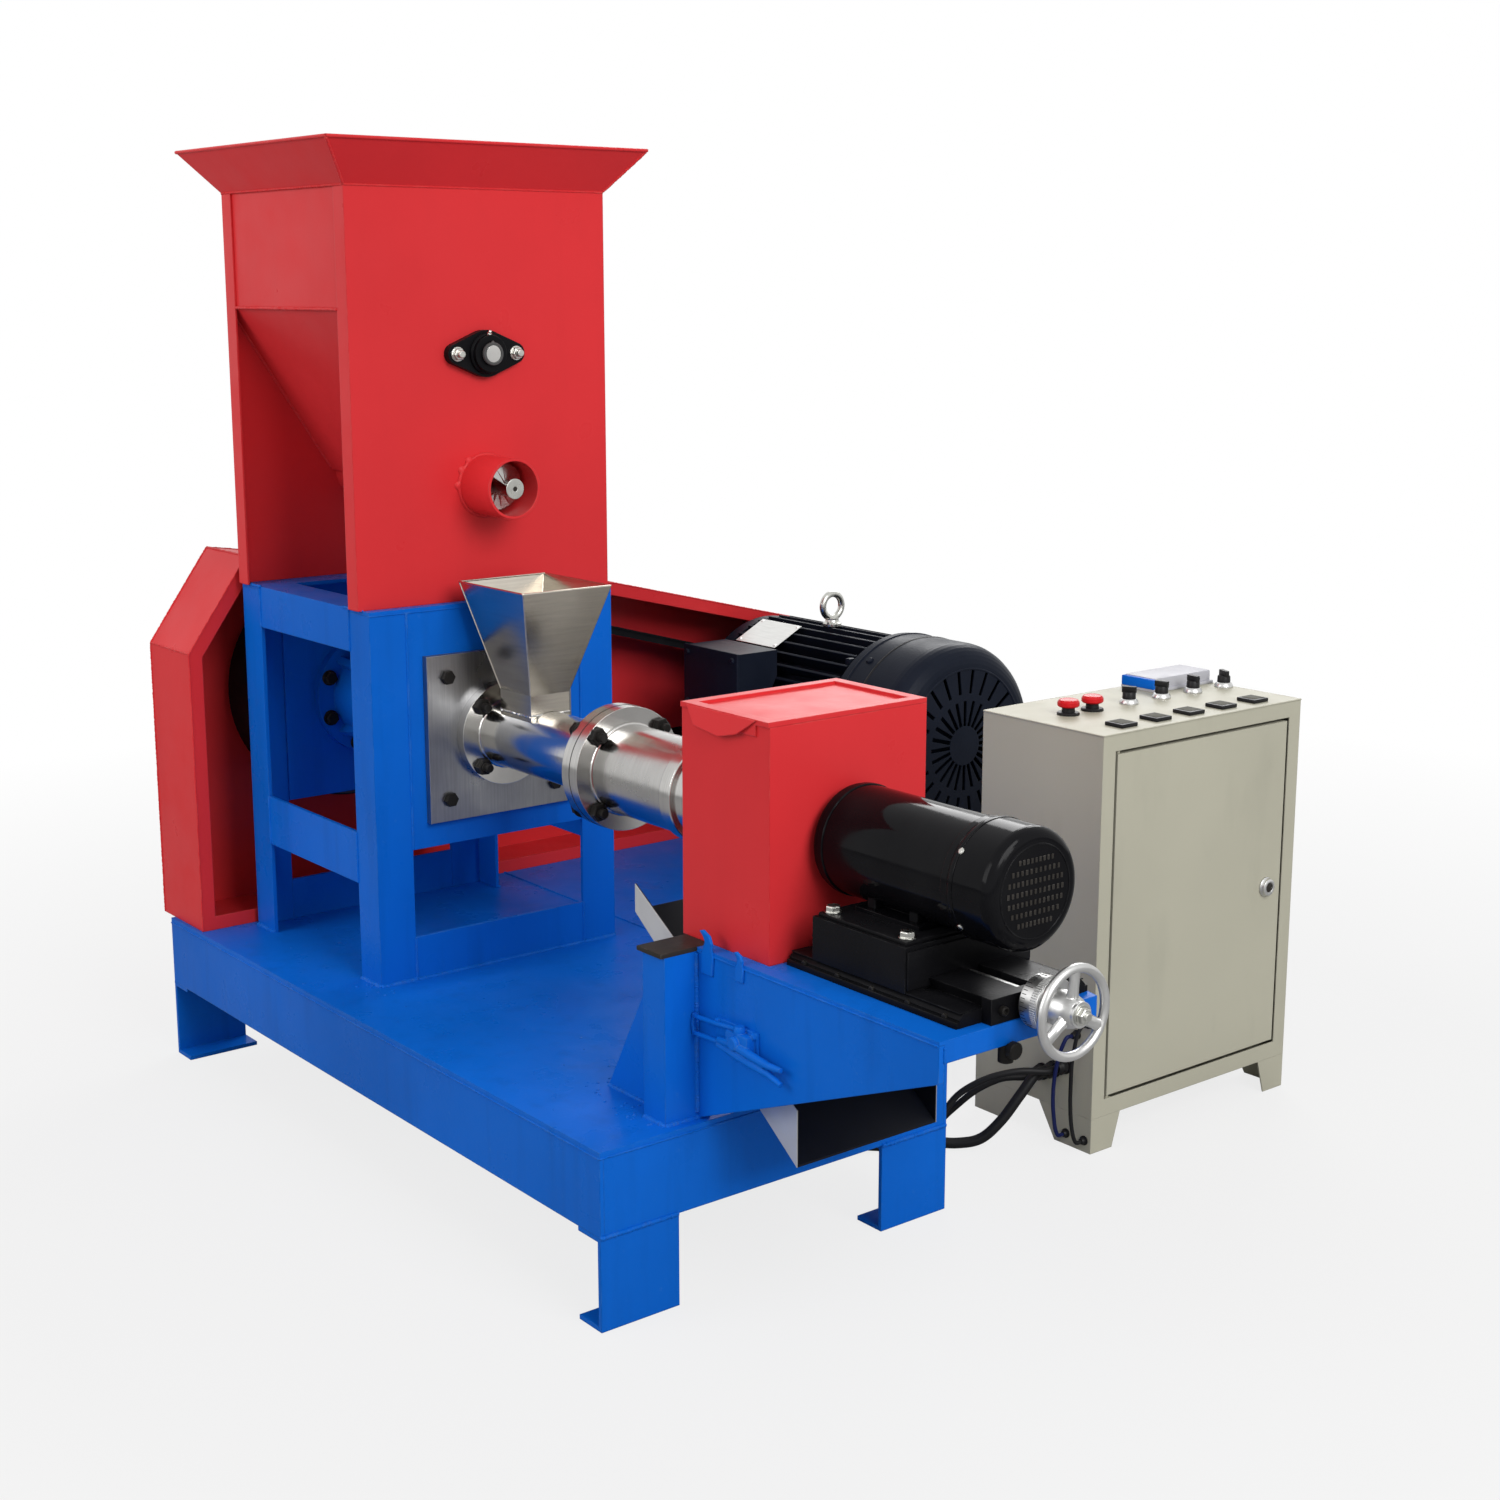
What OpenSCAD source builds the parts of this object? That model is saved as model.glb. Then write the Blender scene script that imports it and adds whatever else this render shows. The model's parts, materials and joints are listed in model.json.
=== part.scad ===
// Fish feed extruder: screw barrel on a pedestal, feed hopper above it, cutter on an arm,
// belt drive and motor on a side platform, control cabinet beside it.
// Datum: x = 0 at the pedestal's front face, y = 0 in the screw's plane, z = 0 on the floor.
// The screw pushes towards +X, and the drive motor lies towards +Y.

/* [Base] */
// Length of the base deck along the screw
deck_length = 1237; // [1180:1:1400]
// Width of the base deck
deck_width = 574; // [560:1:640]
// Reach of the deck ahead of the pedestal
deck_ahead = 705; // [700:1:760]
// Distance from the screw's plane to the deck's near edge
deck_near = 306; // [304:1:330]
// Height of the deck's top above the floor
deck_top = 233; // [215:1:270]
// Thickness of the deck plates
deck_plate_t = 8; // [6:1:12]
// Height of the channel steel round the deck
channel_h = 102; // [80:1:120]
// Thickness of the channel's web and flanges
channel_t = 6; // [5:0.5:9]
// Width of the channel's flanges
channel_flange = 48; // [40:1:60]
// Width of a foot
foot_w = 118; // [90:1:140]
// Reach of the motor platform ahead of the pedestal
platform_ahead = 219; // [180:1:300]
// Width of the motor platform beside the deck
platform_w = 756; // [740:1:820]

/* [Pedestal] */
// Depth of the pedestal along the screw
pedestal_depth = 409; // [390:1:450]
// Width of the pedestal
pedestal_w = 420; // [410:1:460]
// Height of the pedestal above the deck
pedestal_h = 560; // [540:1:600]
// Width of the corner posts' legs
post_w = 60; // [50:1:70]
// Thickness of the posts and rails
post_t = 6; // [5:0.5:8]
// Thickness of the front and rear plates
wall_plate_t = 10; // [8:1:14]
// Height of the front and rear bottom rails
bottom_rail_h = 66; // [50:1:80]
// Height of the front and rear lower windows
lower_window_h = 134; // [110:1:150]
// Height of the side windows' lower edge above the deck
side_window_z = 147; // [120:1:160]
// Height of the middle side rails
mid_rail_h = 78; // [60:1:90]
// Height of the top side rails
top_rail_h = 64; // [50:1:80]
// Height of the screw's axis above the deck
screw_above_deck = 363; // [350:1:370]

/* [Spindle and barrel] */
// Radius of the spindle
spindle_r = 27.5; // [24:0.5:30]
// Radius of the spindle's bearing housing
housing_r = 72; // [64:1:80]
// Length of the bearing housing
housing_length = 168; // [140:1:190]
// Radius of the housing's flange
housing_flange_r = 100; // [92:1:110]
// Thickness of the housing's flange
housing_flange_t = 16; // [12:1:20]
// Radius of the bearing cover
bearing_cover_r = 64; // [58:1:70]
// Thickness of the bearing cover
bearing_cover_t = 12; // [8:1:16]
// Radius of the coupling hub
coupling_r = 47; // [40:1:52]
// Length of the coupling hub
coupling_length = 90; // [60:1:110]
// Side of the square barrel plate
barrel_plate_side = 250; // [230:1:270]
// Thickness of the barrel plate
barrel_plate_t = 12; // [8:1:16]
// Radius of the barrel's bore
bore_r = 36; // [34:0.5:38]
// Outer radius of the inlet barrel
inlet_r = 50; // [46:1:54]
// Radius of the inlet barrel's root flange
root_flange_r = 78; // [72:1:84]
// Radius of the barrel's middle flanges
mid_flange_r = 87; // [80:1:95]
// Thickness of each barrel flange
flange_t = 18; // [14:1:22]
// Length of the inlet barrel
inlet_length = 311; // [290:1:330]
// Outer radius of the outlet barrel
outlet_r = 63; // [58:1:68]
// Reach of the outlet barrel into the cutter guard
outlet_reach = 15; // [5:1:25]
// Radius of the barrel's end collar
collar_r = 68; // [65:1:72]
// Length of the end collar
collar_length = 26; // [16:1:40]
// Radius of the die head
die_r = 56; // [50:1:60]
// Thickness of the die head
die_t = 30; // [20:1:36]
// Root radius of the screw
screw_root_r = 21; // [18:0.5:24]
// Pitch of the screw
screw_pitch = 50; // [40:1:70]
// Thickness of a screw flight
flight_t = 7; // [5:0.5:10]

/* [Feed funnel] */
// Length of the funnel's mouth along the screw
funnel_length = 172; // [150:1:200]
// Width of the funnel's mouth
funnel_w = 148; // [130:1:170]
// Distance from the barrel plate to the funnel's rear wall
funnel_gap = 12; // [8:1:30]
// Height of the funnel's mouth above the screw's axis
funnel_top = 233; // [215:1:240]
// Length of the throat
throat_length = 78; // [60:1:90]
// Width of the throat
throat_w = 66; // [50:1:70]
// Distance from the funnel's rear wall to the throat
throat_setback = 42; // [30:1:60]
// Height of the throat's top above the screw's axis
throat_top = 76; // [66:1:90]
// Thickness of the funnel's sheet
funnel_t = 2; // [1.5:0.5:3]

/* [Hopper] */
// Depth of the hopper along the screw
hopper_depth = 387; // [370:1:389]
// Width of the hopper
hopper_w = 434; // [425:1:460]
// Setback of the hopper's front plate from the pedestal's face
hopper_setback = 18; // [10:1:19]
// Height of the hopper's plates
hopper_h = 595; // [580:1:640]
// Thickness of the hopper's sheet
hopper_t = 3; // [2:0.5:4]
// Width of the plates' folded edges
fold_w = 30; // [20:1:40]
// Height of the upright side walls
side_wall_h = 170; // [140:1:200]
// Outward flare of the rim
rim_flare = 50; // [30:1:70]
// Height of the rim
rim_h = 62; // [40:1:80]
// Height of the feed screw's axis above the pedestal
feed_above = 169; // [160:1:185]
// Height of the agitator's axis above the feed screw's axis
agitator_above = 192; // [180:1:205]
// Outer radius of the feed tube
feed_tube_r = 44; // [42:0.5:47]
// Wall of the feed tube and the trough
feed_tube_t = 4; // [3:0.5:5]
// Reach of the feed tube ahead of the hopper
feed_tube_reach = 80; // [60:1:100]
// Radius of the feed screw's flights
feed_screw_r = 35; // [32:0.5:36]
// Pitch of the feed screw
feed_pitch = 60; // [50:1:80]
// Thickness of the feed screw's flights
feed_flight_t = 4; // [3:0.5:6]
// Radius of the feed screw's and agitator's shafts
feed_shaft_r = 12.5; // [10:0.5:15]
// Reach of the agitator's fingers from its axis
finger_reach = 105; // [80:1:120]
// Radius of the agitator's fingers
finger_r = 6; // [5:0.5:8]
// Distance between a flange bearing's bolts
bearing_bolts = 99; // [95:1:105]
// Radius of a flange bearing's middle
bearing_r = 34; // [32:0.5:36]
// Radius of a flange bearing's ears
bearing_ear_r = 15; // [13:0.5:17]
// Thickness of a flange bearing's foot
bearing_foot_t = 13; // [10:1:16]
// Whole height of a flange bearing
bearing_h = 32; // [28:1:38]

/* [Feeder drive] */
// Thickness of the chain cover
chain_cover_t = 42; // [36:1:48]
// Half width of the chain cover
chain_cover_r = 58; // [50:1:64]
// Depth of the worm gearbox along the screw
gearbox_depth = 90; // [80:1:96]
// Width and height of the worm gearbox
gearbox_side = 116; // [100:1:130]
// Radius of the feeder motor
feeder_motor_r = 58; // [50:1:64]
// Length of the feeder motor
feeder_motor_length = 196; // [160:1:220]

/* [Belt drive] */
// Depth of the belt guard
guard_depth = 148; // [140:1:165]
// Gap between the belt guard and the pedestal
guard_gap = 15; // [10:1:30]
// Height of the guard's near side
guard_side_h = 452; // [430:1:470]
// Run of the guard's near corner
guard_corner_run = 104; // [80:1:115]
// Rise of the guard's near corner
guard_corner_rise = 147; // [130:1:160]
// Setback of the guard from the deck's near edge
guard_inset = 7; // [2:1:10]
// Distance from the screw's plane to the guard's knee
guard_knee_y = 513; // [480:1:560]
// Drop of the guard's top down to the knee
guard_knee_drop = 104; // [90:1:112]
// Drop of the guard's top from the knee to its far end
guard_far_drop = 120; // [90:1:130]
// Reach of the guard beyond the motor's axis
guard_beyond = 160; // [130:1:165]
// Thickness of the guard's sheet
guard_t = 3; // [2:0.5:4]
// Width of the guard's return lip
guard_lip = 22; // [15:1:24]
// Radius of the large pulley
large_pulley_r = 182; // [160:1:185]
// Radius of the motor pulley
motor_pulley_r = 72; // [60:1:85]
// Width of the pulleys
pulley_w = 88; // [82:1:92]
// Number of belt grooves
groove_count = 4; // [3:1:4]
// Distance between belt grooves
groove_pitch = 19; // [18:0.5:20]
// Depth of a belt groove
groove_depth = 13; // [11:0.5:14]
// Width of a belt groove
groove_w = 14; // [12:0.5:15]
// Thickness of the joined belts from rib to back
belt_t = 15; // [15:0.5:17]

/* [Drive motor] */
// Distance from the screw's plane to the motor's axis
motor_y = 844; // [820:1:860]
// Height of the motor's axis above its feet
motor_shaft_h = 180; // [178:1:190]
// Height of the motor rails
rail_h = 67; // [60:1:80]
// Width of each motor rail
rail_w = 74; // [60:1:80]
// Gap between the belt guard and the motor's drive end
motor_gap = 14; // [8:1:30]
// Length of the finned frame
frame_length = 330; // [310:1:360]
// Radius of the frame's shell
frame_r = 138; // [130:1:144]
// Height of the fins
fin_h = 26; // [18:1:28]
// Thickness of the fins
fin_t = 4; // [3:0.5:5]
// Number of fins round the frame
fin_count = 40; // [28:4:44]
// Thickness of the end shields
shield_t = 34; // [26:1:44]
// Radius of the end shields
shield_r = 160; // [150:1:168]
// Radius of the fan cowl
cowl_r = 174; // [168:1:176]
// Length of the fan cowl
cowl_length = 150; // [130:1:170]
// Rounding of the cowl's end
cowl_round = 40; // [25:1:55]
// Thickness of the cowl's sheet
cowl_t = 3; // [2:0.5:4]
// Number of slots in each ring of the cowl's grille
cowl_slots = 24; // [16:4:28]
// Radius of the motor's shaft
motor_shaft_r = 24; // [20:0.5:27]
// Length of the motor's feet
motor_foot_length = 300; // [260:1:320]
// Width of each motor foot
motor_foot_w = 70; // [60:1:72]
// Thickness of the motor's feet
motor_foot_t = 18; // [14:1:22]
// Length of the terminal box
terminal_length = 150; // [120:1:170]
// Depth of the terminal box
terminal_depth = 64; // [50:1:80]
// Height of the terminal box
terminal_h = 112; // [90:1:130]
// Radius of the lifting eye's ring, at the middle of its rod
eye_r = 22; // [18:0.5:26]
// Radius of the lifting eye's rod
eye_rod_r = 6; // [5:0.5:8]

/* [Cutter arm] */
// Height of the arm's top above the deck
arm_top = 217; // [205:1:225]
// Length of the arm ahead of the posts
arm_length = 430; // [420:1:470]
// Half width of the arm
arm_half_w = 146; // [140:1:150]
// Thickness of the arm's plates
arm_t = 8; // [6:1:10]
// Depth of the arm at its tip
arm_tip_h = 43; // [35:1:60]
// Thickness of the arm's table
table_t = 5; // [4:1:8]
// Width of an arm post
arm_post_w = 70; // [60:1:80]
// Depth of an arm post along the screw
arm_post_d = 45; // [38:1:60]
// Setback of the arm posts from the deck's front edge
arm_post_inset = 16; // [6:1:20]
// Length of the posts' gussets
gusset_length = 116; // [90:1:140]
// Thickness of the caps on the posts
post_cap_t = 5; // [3:1:8]

/* [Cutter] */
// Length of the cutter guard along the screw
box_length = 171; // [165:1:180]
// Width of the cutter guard
box_w = 250; // [240:1:252]
// Height of the cutter guard
box_h = 290; // [270:1:310]
// Thickness of the cutter guard's sheet
box_t = 2.5; // [2:0.5:3]
// Reach of the cutter guard behind the arm's table
box_behind = 56; // [54:1:60]
// Radius of the cutter guard's opening for the motor's nose
nose_hole_r = 50; // [48:1:54]
// Width of the lid's frame
lid_frame_w = 16; // [12:1:22]
// Depth of the lid's recess
lid_recess = 4; // [2:0.5:6]
// Length of the chute along the screw
chute_run = 330; // [320:1:340]
// Fall of the chute
chute_fall = 243; // [230:1:250]
// Width of the chute
chute_w = 230; // [220:1:236]
// Height of the chute's side walls
chute_wall_h = 70; // [50:1:80]
// Thickness of the chute's sheet
chute_t = 2.5; // [2:0.5:3]
// Radius of the cutter motor
cutter_r = 68; // [64:0.5:70]
// Length of the cutter motor's body
cutter_length = 237; // [225:1:240]
// Radius of the cutter motor's fan cap
cap_r = 72; // [70:0.5:74]
// Length of the cutter motor's fan cap
cap_length = 66; // [56:1:68]
// Radius of the cutter motor's nose
nose_r = 40; // [34:1:44]
// Length of the cutter motor's nose
nose_length = 24; // [18:1:30]
// Gap between the cutter guard and the motor's body
cutter_gap = 8; // [6:1:12]
// Gap between the die and the knives
knife_gap = 8; // [6:1:12]
// Reach of the knives from the axis
knife_reach = 76; // [60:1:90]
// Number of knives
knife_count = 3; // [2:1:4]
// Thickness of a knife
knife_t = 4; // [3:0.5:5]

/* [Slide] */
// Length of the slide's base
slide_length = 290; // [280:1:292]
// Width of the slide's base
slide_w = 200; // [180:1:220]
// Height of the slide's base
slide_h = 30; // [28:1:34]
// Half width of the dovetail at its top
dovetail_half = 66; // [60:1:74]
// Undercut of the dovetail
dovetail_cut = 7; // [5:0.5:9]
// Height of the dovetail
dovetail_h = 14; // [12:1:16]
// Length of the carriage
carriage_length = 160; // [150:1:190]
// Setback of the carriage from the slide's rear end
carriage_setback = 42; // [34:1:50]
// Radius of the lead screw
lead_r = 8; // [7:0.5:9]
// Clearance of the slide's guiding faces
slide_clear = 0.5; // [0.3:0.1:1]
// Thickness of the lead screw's end block
end_block_t = 15; // [12:1:20]
// Radius of the dial
dial_r = 31; // [26:0.5:34]
// Length of the dial
dial_length = 26; // [20:1:32]
// Radius of the handwheel, at the middle of its rim
wheel_r = 50; // [44:1:54]
// Radius of the handwheel's rim rod
wheel_rim_r = 5.5; // [4:0.5:7]
// Radius of the handwheel's hub
wheel_hub_r = 15; // [12:0.5:18]
// Length of the handwheel's hub
wheel_hub_length = 34; // [28:1:40]

/* [Cabinet] */
// Depth of the cabinet along the screw
cabinet_depth = 240; // [220:1:280]
// Width of the cabinet
cabinet_w = 445; // [420:1:480]
// Height of the cabinet's body
cabinet_h = 575; // [550:1:620]
// Height of the cabinet's feet
cabinet_foot_h = 53; // [40:1:70]
// Gap between the deck and the cabinet
cabinet_gap = 296; // [280:1:310]
// Setback of the cabinet's front from the deck's front edge
cabinet_inset = 2; // [0:1:40]
// Thickness of the cabinet's sheet
cabinet_t = 2; // [1.5:0.5:3]
// Width of the frame round the door
door_frame_w = 26; // [20:1:34]
// Gap round the door
door_gap = 5; // [5:0.5:8]
// Thickness of the door
door_t = 18; // [14:1:24]
// Radius of the door's lock
lock_r = 13; // [10:0.5:16]

/* [Hidden] */
$fn = 64;
// Running gap of shafts in their bearings
running_gap = 0.3;
// Clearance of shafts through plain plates
shaft_hole_gap = 3;
// Gap between the extruder screw and the barrel's bore
screw_gap = 1;
// Depth of a flight's foot inside its shaft
flight_root = 3;
// Overlap of cutting shapes past the faces that they cut
cut = 1;

// Places on the base
deck_x1 = deck_ahead;
deck_x0 = deck_x1 - deck_length;
deck_y0 = -deck_near;
deck_y1 = deck_y0 + deck_width;
platform_x1 = platform_ahead;
platform_y1 = deck_y1 + platform_w;
channel_z1 = deck_top - deck_plate_t;
foot_h = channel_z1 - channel_h;

// Places on the pedestal
ped_x0 = -pedestal_depth;
ped_y = pedestal_w / 2;
ped_top = deck_top + pedestal_h;
screw_z = deck_top + screw_above_deck;
wall_plate_z0 = deck_top + bottom_rail_h + lower_window_h;
side_mid_z0 = deck_top + side_window_z;
post_top = ped_top - post_t;

// Places on the hopper
hop_x1 = -hopper_setback;
hop_x0 = hop_x1 - hopper_depth;
hop_y = hopper_w / 2;
hop_top = ped_top + hopper_h;
feed_z = ped_top + feed_above;
agitator_z = feed_z + agitator_above;
wall_y = hop_y - hopper_t;

// Places on the belt drive and its motor
guard_x1 = ped_x0 - guard_gap;
guard_x0 = guard_x1 - guard_depth;
guard_y0 = deck_y0 + guard_inset;
guard_y1 = motor_y + guard_beyond;
guard_top = deck_top + guard_side_h + guard_corner_rise;
guard_outline = [
    [guard_y0, deck_top],
    [guard_y0, deck_top + guard_side_h],
    [guard_y0 + guard_corner_run, guard_top],
    [guard_knee_y, guard_top - guard_knee_drop],
    [guard_y1, guard_top - guard_knee_drop - guard_far_drop],
    [guard_y1, deck_top]
];
pulley_x = (guard_x0 + guard_x1) / 2;
pulley_x0 = pulley_x - pulley_w / 2;
motor_z = deck_top + rail_h + motor_shaft_h;
motor_x0 = guard_x1 + motor_gap;
frame_x0 = motor_x0 + shield_t;
frame_x1 = frame_x0 + frame_length;
cowl_x0 = frame_x1 + shield_t;
fin_r = frame_r + fin_h;
motor_foot_y = (shield_r + frame_r) / 2 - motor_foot_w / 2;

// Places on the barrel
inlet_x0 = barrel_plate_t;
inlet_x1 = inlet_x0 + inlet_length;
funnel_x0 = barrel_plate_t + funnel_gap;
throat_x0 = funnel_x0 + throat_setback;

// Places on the cutter
arm_x0 = deck_x1 - arm_post_inset;
arm_x1 = arm_x0 + arm_length;
corner_run = 200;
corner_cut = 44;
arm_far_x1 = arm_x1 - corner_run;
arm_z = deck_top + arm_top;
table_z = arm_z + table_t;
post_lap = 20;
arm_post_y = arm_half_w - post_lap;
box_x0 = arm_x0 - box_behind;
box_x1 = box_x0 + box_length;
chute_behind = 118;
chute_x0 = box_x0 - chute_behind;
outlet_x1 = box_x0 + outlet_reach;
die_x1 = outlet_x1 + die_t;
cutter_x0 = box_x1 + cutter_gap;
cutter_x1 = cutter_x0 + cutter_length;
cutter_shaft_h = 71;
slide_x0 = cutter_x0;
slide_x1 = slide_x0 + slide_length;
slide_z = table_z + slide_h;
gib_z = slide_z - dovetail_h;
lead_h = 18;
lead_z = table_z + lead_h;
carriage_x0 = slide_x0 + carriage_setback;
carriage_top = screw_z - cutter_shaft_h;
dial_gap = 7;
dial_x0 = slide_x1 + end_block_t + dial_gap;
wheel_gap = 5;
wheel_hub_x0 = dial_x0 + dial_length + wheel_gap;
wheel_hub_x1 = wheel_hub_x0 + wheel_hub_length;
wheel_dish = 5;
wheel_x = wheel_hub_x0 + wheel_hub_length / 2 + wheel_dish;

// Places on the cabinet
cab_x1 = deck_x1 - cabinet_inset;
cab_x0 = cab_x1 - cabinet_depth;
cab_y0 = deck_y1 + cabinet_gap;
cab_y1 = cab_y0 + cabinet_w;
cab_z0 = cabinet_foot_h;
cab_z1 = cab_z0 + cabinet_h;
door_y0 = cab_y0 + door_frame_w + door_gap;
door_y1 = cab_y1 - door_frame_w - door_gap;
door_z0 = cab_z0 + door_frame_w + door_gap;
door_z1 = cab_z1 - door_frame_w - door_gap;
hinge_inset = 6;
hinge_pin_r = 3;

// The part's origin lies on the floor, under the middle of the machine's box
centre_x = (guard_x0 + wheel_hub_x1) / 2;
centre_y = (deck_y0 + platform_y1) / 2;

// Cable routes in the part's own frame, from the cabinet's wall to where they end
power_d = 16;
signal_d = 10;
thin_d = 6;
cable_wall = [cab_x0 - centre_x, cab_y0 - centre_y, 0];
cable_floor = [deck_x1 - centre_x, deck_y1 - centre_y, 0];
cable_deck = cable_floor + [0, 0, channel_z1];
function moved(points, by) = [for (p = points) p + by];
power_route = concat(
    moved([
        [163.5, -20, 110], [163.5, -40, 110], [157.5, -65, 82], [145.5, -90, 46], [127.5, -113, 18],
        [103.5, -137, 9]
    ], cable_wall),
    moved([[-168.5, 129, 9], [-206.5, 86, 9], [-246.5, 36, 9], [-281.5, -19, 12], [-306.5, -64, 40]], cable_floor),
    moved([[-318.5, -87, -130], [-320.5, -91, -70], [-320.5, -91, -20]], cable_deck)
);
cutter_route = concat(
    moved([
        [185.5, -20, 122], [185.5, -40, 122], [163.5, -75, 124], [133.5, -110, 112],
        [103.5, -140, 84], [89.5, -163, 46]
    ], cable_wall),
    moved([[-162.5, 113, 14], [-180.5, 86, 6], [-221.5, 41, 6], [-254.5, -14, 8], [-278.5, -64, 36]], cable_floor),
    moved([[-290.5, -87, -133], [-292.5, -91, -70], [-292.5, -91, -20]], cable_deck)
);
feeder_route = concat(
    moved([
        [141.5, -20, 100], [141.5, -40, 100], [121.5, -67, 98], [95.5, -95, 78], [69.5, -121, 44],
        [49.5, -143, 14]
    ], cable_wall),
    moved([[-216.5, 125, 6], [-251.5, 81, 6], [-291.5, 31, 6], [-324.5, -19, 8], [-340.5, -64, 36]], cable_floor),
    moved([[-347.5, -87, -133], [-348.5, -91, -70], [-348.5, -91, -20]], cable_deck)
);
black_lead_route = moved([
    [235.5, -12, 200], [235.5, -22, 200], [233.5, -28, 189], [230.5, -30, 170],
    [225.5, -29, 145], [222.5, -27, 115], [221.5, -26, 85], [222.5, -25, 58], [224.5, -23, 36],
    [226.5, -20, 23], [227.5, -16, 18], [227.5, -8, 18]
], cable_wall);
blue_lead_route = moved([
    [207.5, -12, 176], [207.5, -22, 176], [205.5, -28, 165], [200.5, -30, 147],
    [194.5, -30, 122], [190.5, -29, 96], [188.5, -27, 70], [189.5, -25, 46], [190.5, -23, 31],
    [191.5, -20, 22], [191.5, -16, 18], [191.5, -8, 18]
], cable_wall);

// Shapes used by several pieces
module placed() { translate([-centre_x, -centre_y, 0]) children(); }
module block(low, high) { translate(low) cube(high - low); }
module prism_x(x0, x1) { translate([x0, 0, 0]) rotate([90, 0, 90]) linear_extrude(height = x1 - x0) children(); }
module prism_y(y0, y1) { translate([0, y1, 0]) rotate([90, 0, 0]) linear_extrude(height = y1 - y0) children(); }
module round_x(x0, x1, r, y = 0, z = screw_z) {
    translate([x0, y, z]) rotate([0, 90, 0]) cylinder(h = x1 - x0, r = r);
}
module revolve_x(x, y, z) { translate([x, y, z]) rotate([0, 90, 0]) rotate_extrude() children(); }
module both_sides() {
    children();
    mirror([0, 1, 0]) children();
}

// Outline drawn in by a distance; the points run clockwise
function inner_normal(a, b) = [b[1] - a[1], a[0] - b[0]] / norm(b - a);
function inset(p, d) = [
    for (i = [0 : len(p) - 1])
        let (
            a = p[(i + len(p) - 1) % len(p)],
            b = p[i],
            c = p[(i + 1) % len(p)],
            n = inner_normal(a, b),
            m = inner_normal(b, c)
        )
        b + d * (n + m) / (1 + n * m)
];

// Arc of points about a centre
function arc(centre, r, a0, a1, steps = 8) = [
    for (i = [0 : steps]) centre + r * [cos(a0 + (a1 - a0) * i / steps), sin(a0 + (a1 - a0) * i / steps)]
];

// Solid between two four-cornered outlines
module loft(bottom, top) {
    polyhedron(
        points = concat(bottom, top),
        faces = [[0, 1, 2, 3], [7, 6, 5, 4], [0, 4, 5, 1], [1, 5, 6, 2], [2, 6, 7, 3], [3, 7, 4, 0]]
    );
}

// Helical flight along X, as a ribbon of square section wound round a shaft
module flight(x0, x1, r0, r1, pitch, t, z, steps_per_turn = 16) {
    steps = ceil((x1 - x0 - t) / pitch * steps_per_turn);
    function corner(i, r, dx) = let (turn = 360 * (x1 - x0 - t) / pitch * i / steps)
        [x0 + (x1 - x0 - t) * i / steps + dx, r * cos(turn), z + r * sin(turn)];
    points = [for (i = [0 : steps]) each [corner(i, r0, 0), corner(i, r1, 0), corner(i, r1, t), corner(i, r0, t)]];
    sides = [
        for (i = [0 : steps - 1], k = [0 : 3])
            let (a = 4 * i + k, b = 4 * i + (k + 1) % 4)
            each [[a, b, b + 4], [a, b + 4, a + 4]]
    ];
    last = 4 * steps;
    polyhedron(points = points, faces = concat(sides, [[3, 2, 1, 0], [last, last + 1, last + 2, last + 3]]));
}

// Cable tube of eight sides swept along a route
module cable(p, d) {
    sides = 8;
    aside = [1, -1, 0];
    last = len(p) - 1;
    function heading(i) = let (v = p[min(i + 1, last)] - p[max(i - 1, 0)]) v / norm(v);
    function across(i) = let (v = cross(heading(i), aside)) v / norm(v);
    points = [
        for (i = [0 : last], k = [0 : sides - 1])
            let (u = across(i), w = cross(u, heading(i)), turn = 360 * k / sides)
            p[i] + d / 2 * (cos(turn) * u + sin(turn) * w)
    ];
    walls = [
        for (i = [0 : last - 1], k = [0 : sides - 1])
            let (a = sides * i + k, b = sides * i + (k + 1) % sides)
            each [[a, b, b + sides], [a, b + sides, a + sides]]
    ];
    start = [for (k = [sides - 1 : -1 : 0]) k];
    end = [for (k = [0 : sides - 1]) sides * last + k];
    polyhedron(points = points, faces = concat(walls, [start, end]));
}

// Channel steel along X with its web outside, facing inwards by side
module channel_x(x0, x1, y, side) {
    flange_y = y + side * channel_flange;
    z0 = channel_z1 - channel_h;
    block([x0, min(y, y + side * channel_t), z0], [x1, max(y, y + side * channel_t), channel_z1]);
    for (z = [z0, channel_z1 - channel_t])
        block([x0 + channel_t, min(y, flange_y), z], [x1 - channel_t, max(y, flange_y), z + channel_t]);
}

// Channel steel along Y between two side channels
module channel_y(y0, y1, x, side, cope0, cope1) {
    flange_x = x + side * channel_flange;
    z0 = channel_z1 - channel_h;
    block([min(x, x + side * channel_t), y0, z0], [max(x, x + side * channel_t), y1, channel_z1]);
    for (z = [z0, channel_z1 - channel_t])
        block([min(x, flange_x), y0 + cope0, z], [max(x, flange_x), y1 - cope1, z + channel_t]);
}

// Foot of channel steel, its web on the outer end face
module foot(x, y0, side) {
    web_x = x + side * channel_t;
    flange_x = x + side * channel_flange;
    block([min(x, web_x), y0, 0], [max(x, web_x), y0 + foot_w, foot_h]);
    for (z = [0, foot_h - channel_t])
        block([min(x, flange_x), y0, z], [max(x, flange_x), y0 + foot_w, z + channel_t]);
}

module deck_plate() {
    color("royalblue") placed()
        block([deck_x0, deck_y0, channel_z1], [deck_x1, deck_y1, deck_top]);
}

module platform_plate() {
    color("royalblue") placed()
        block([deck_x0, deck_y1, channel_z1], [platform_x1, platform_y1, deck_top]);
}

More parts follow.
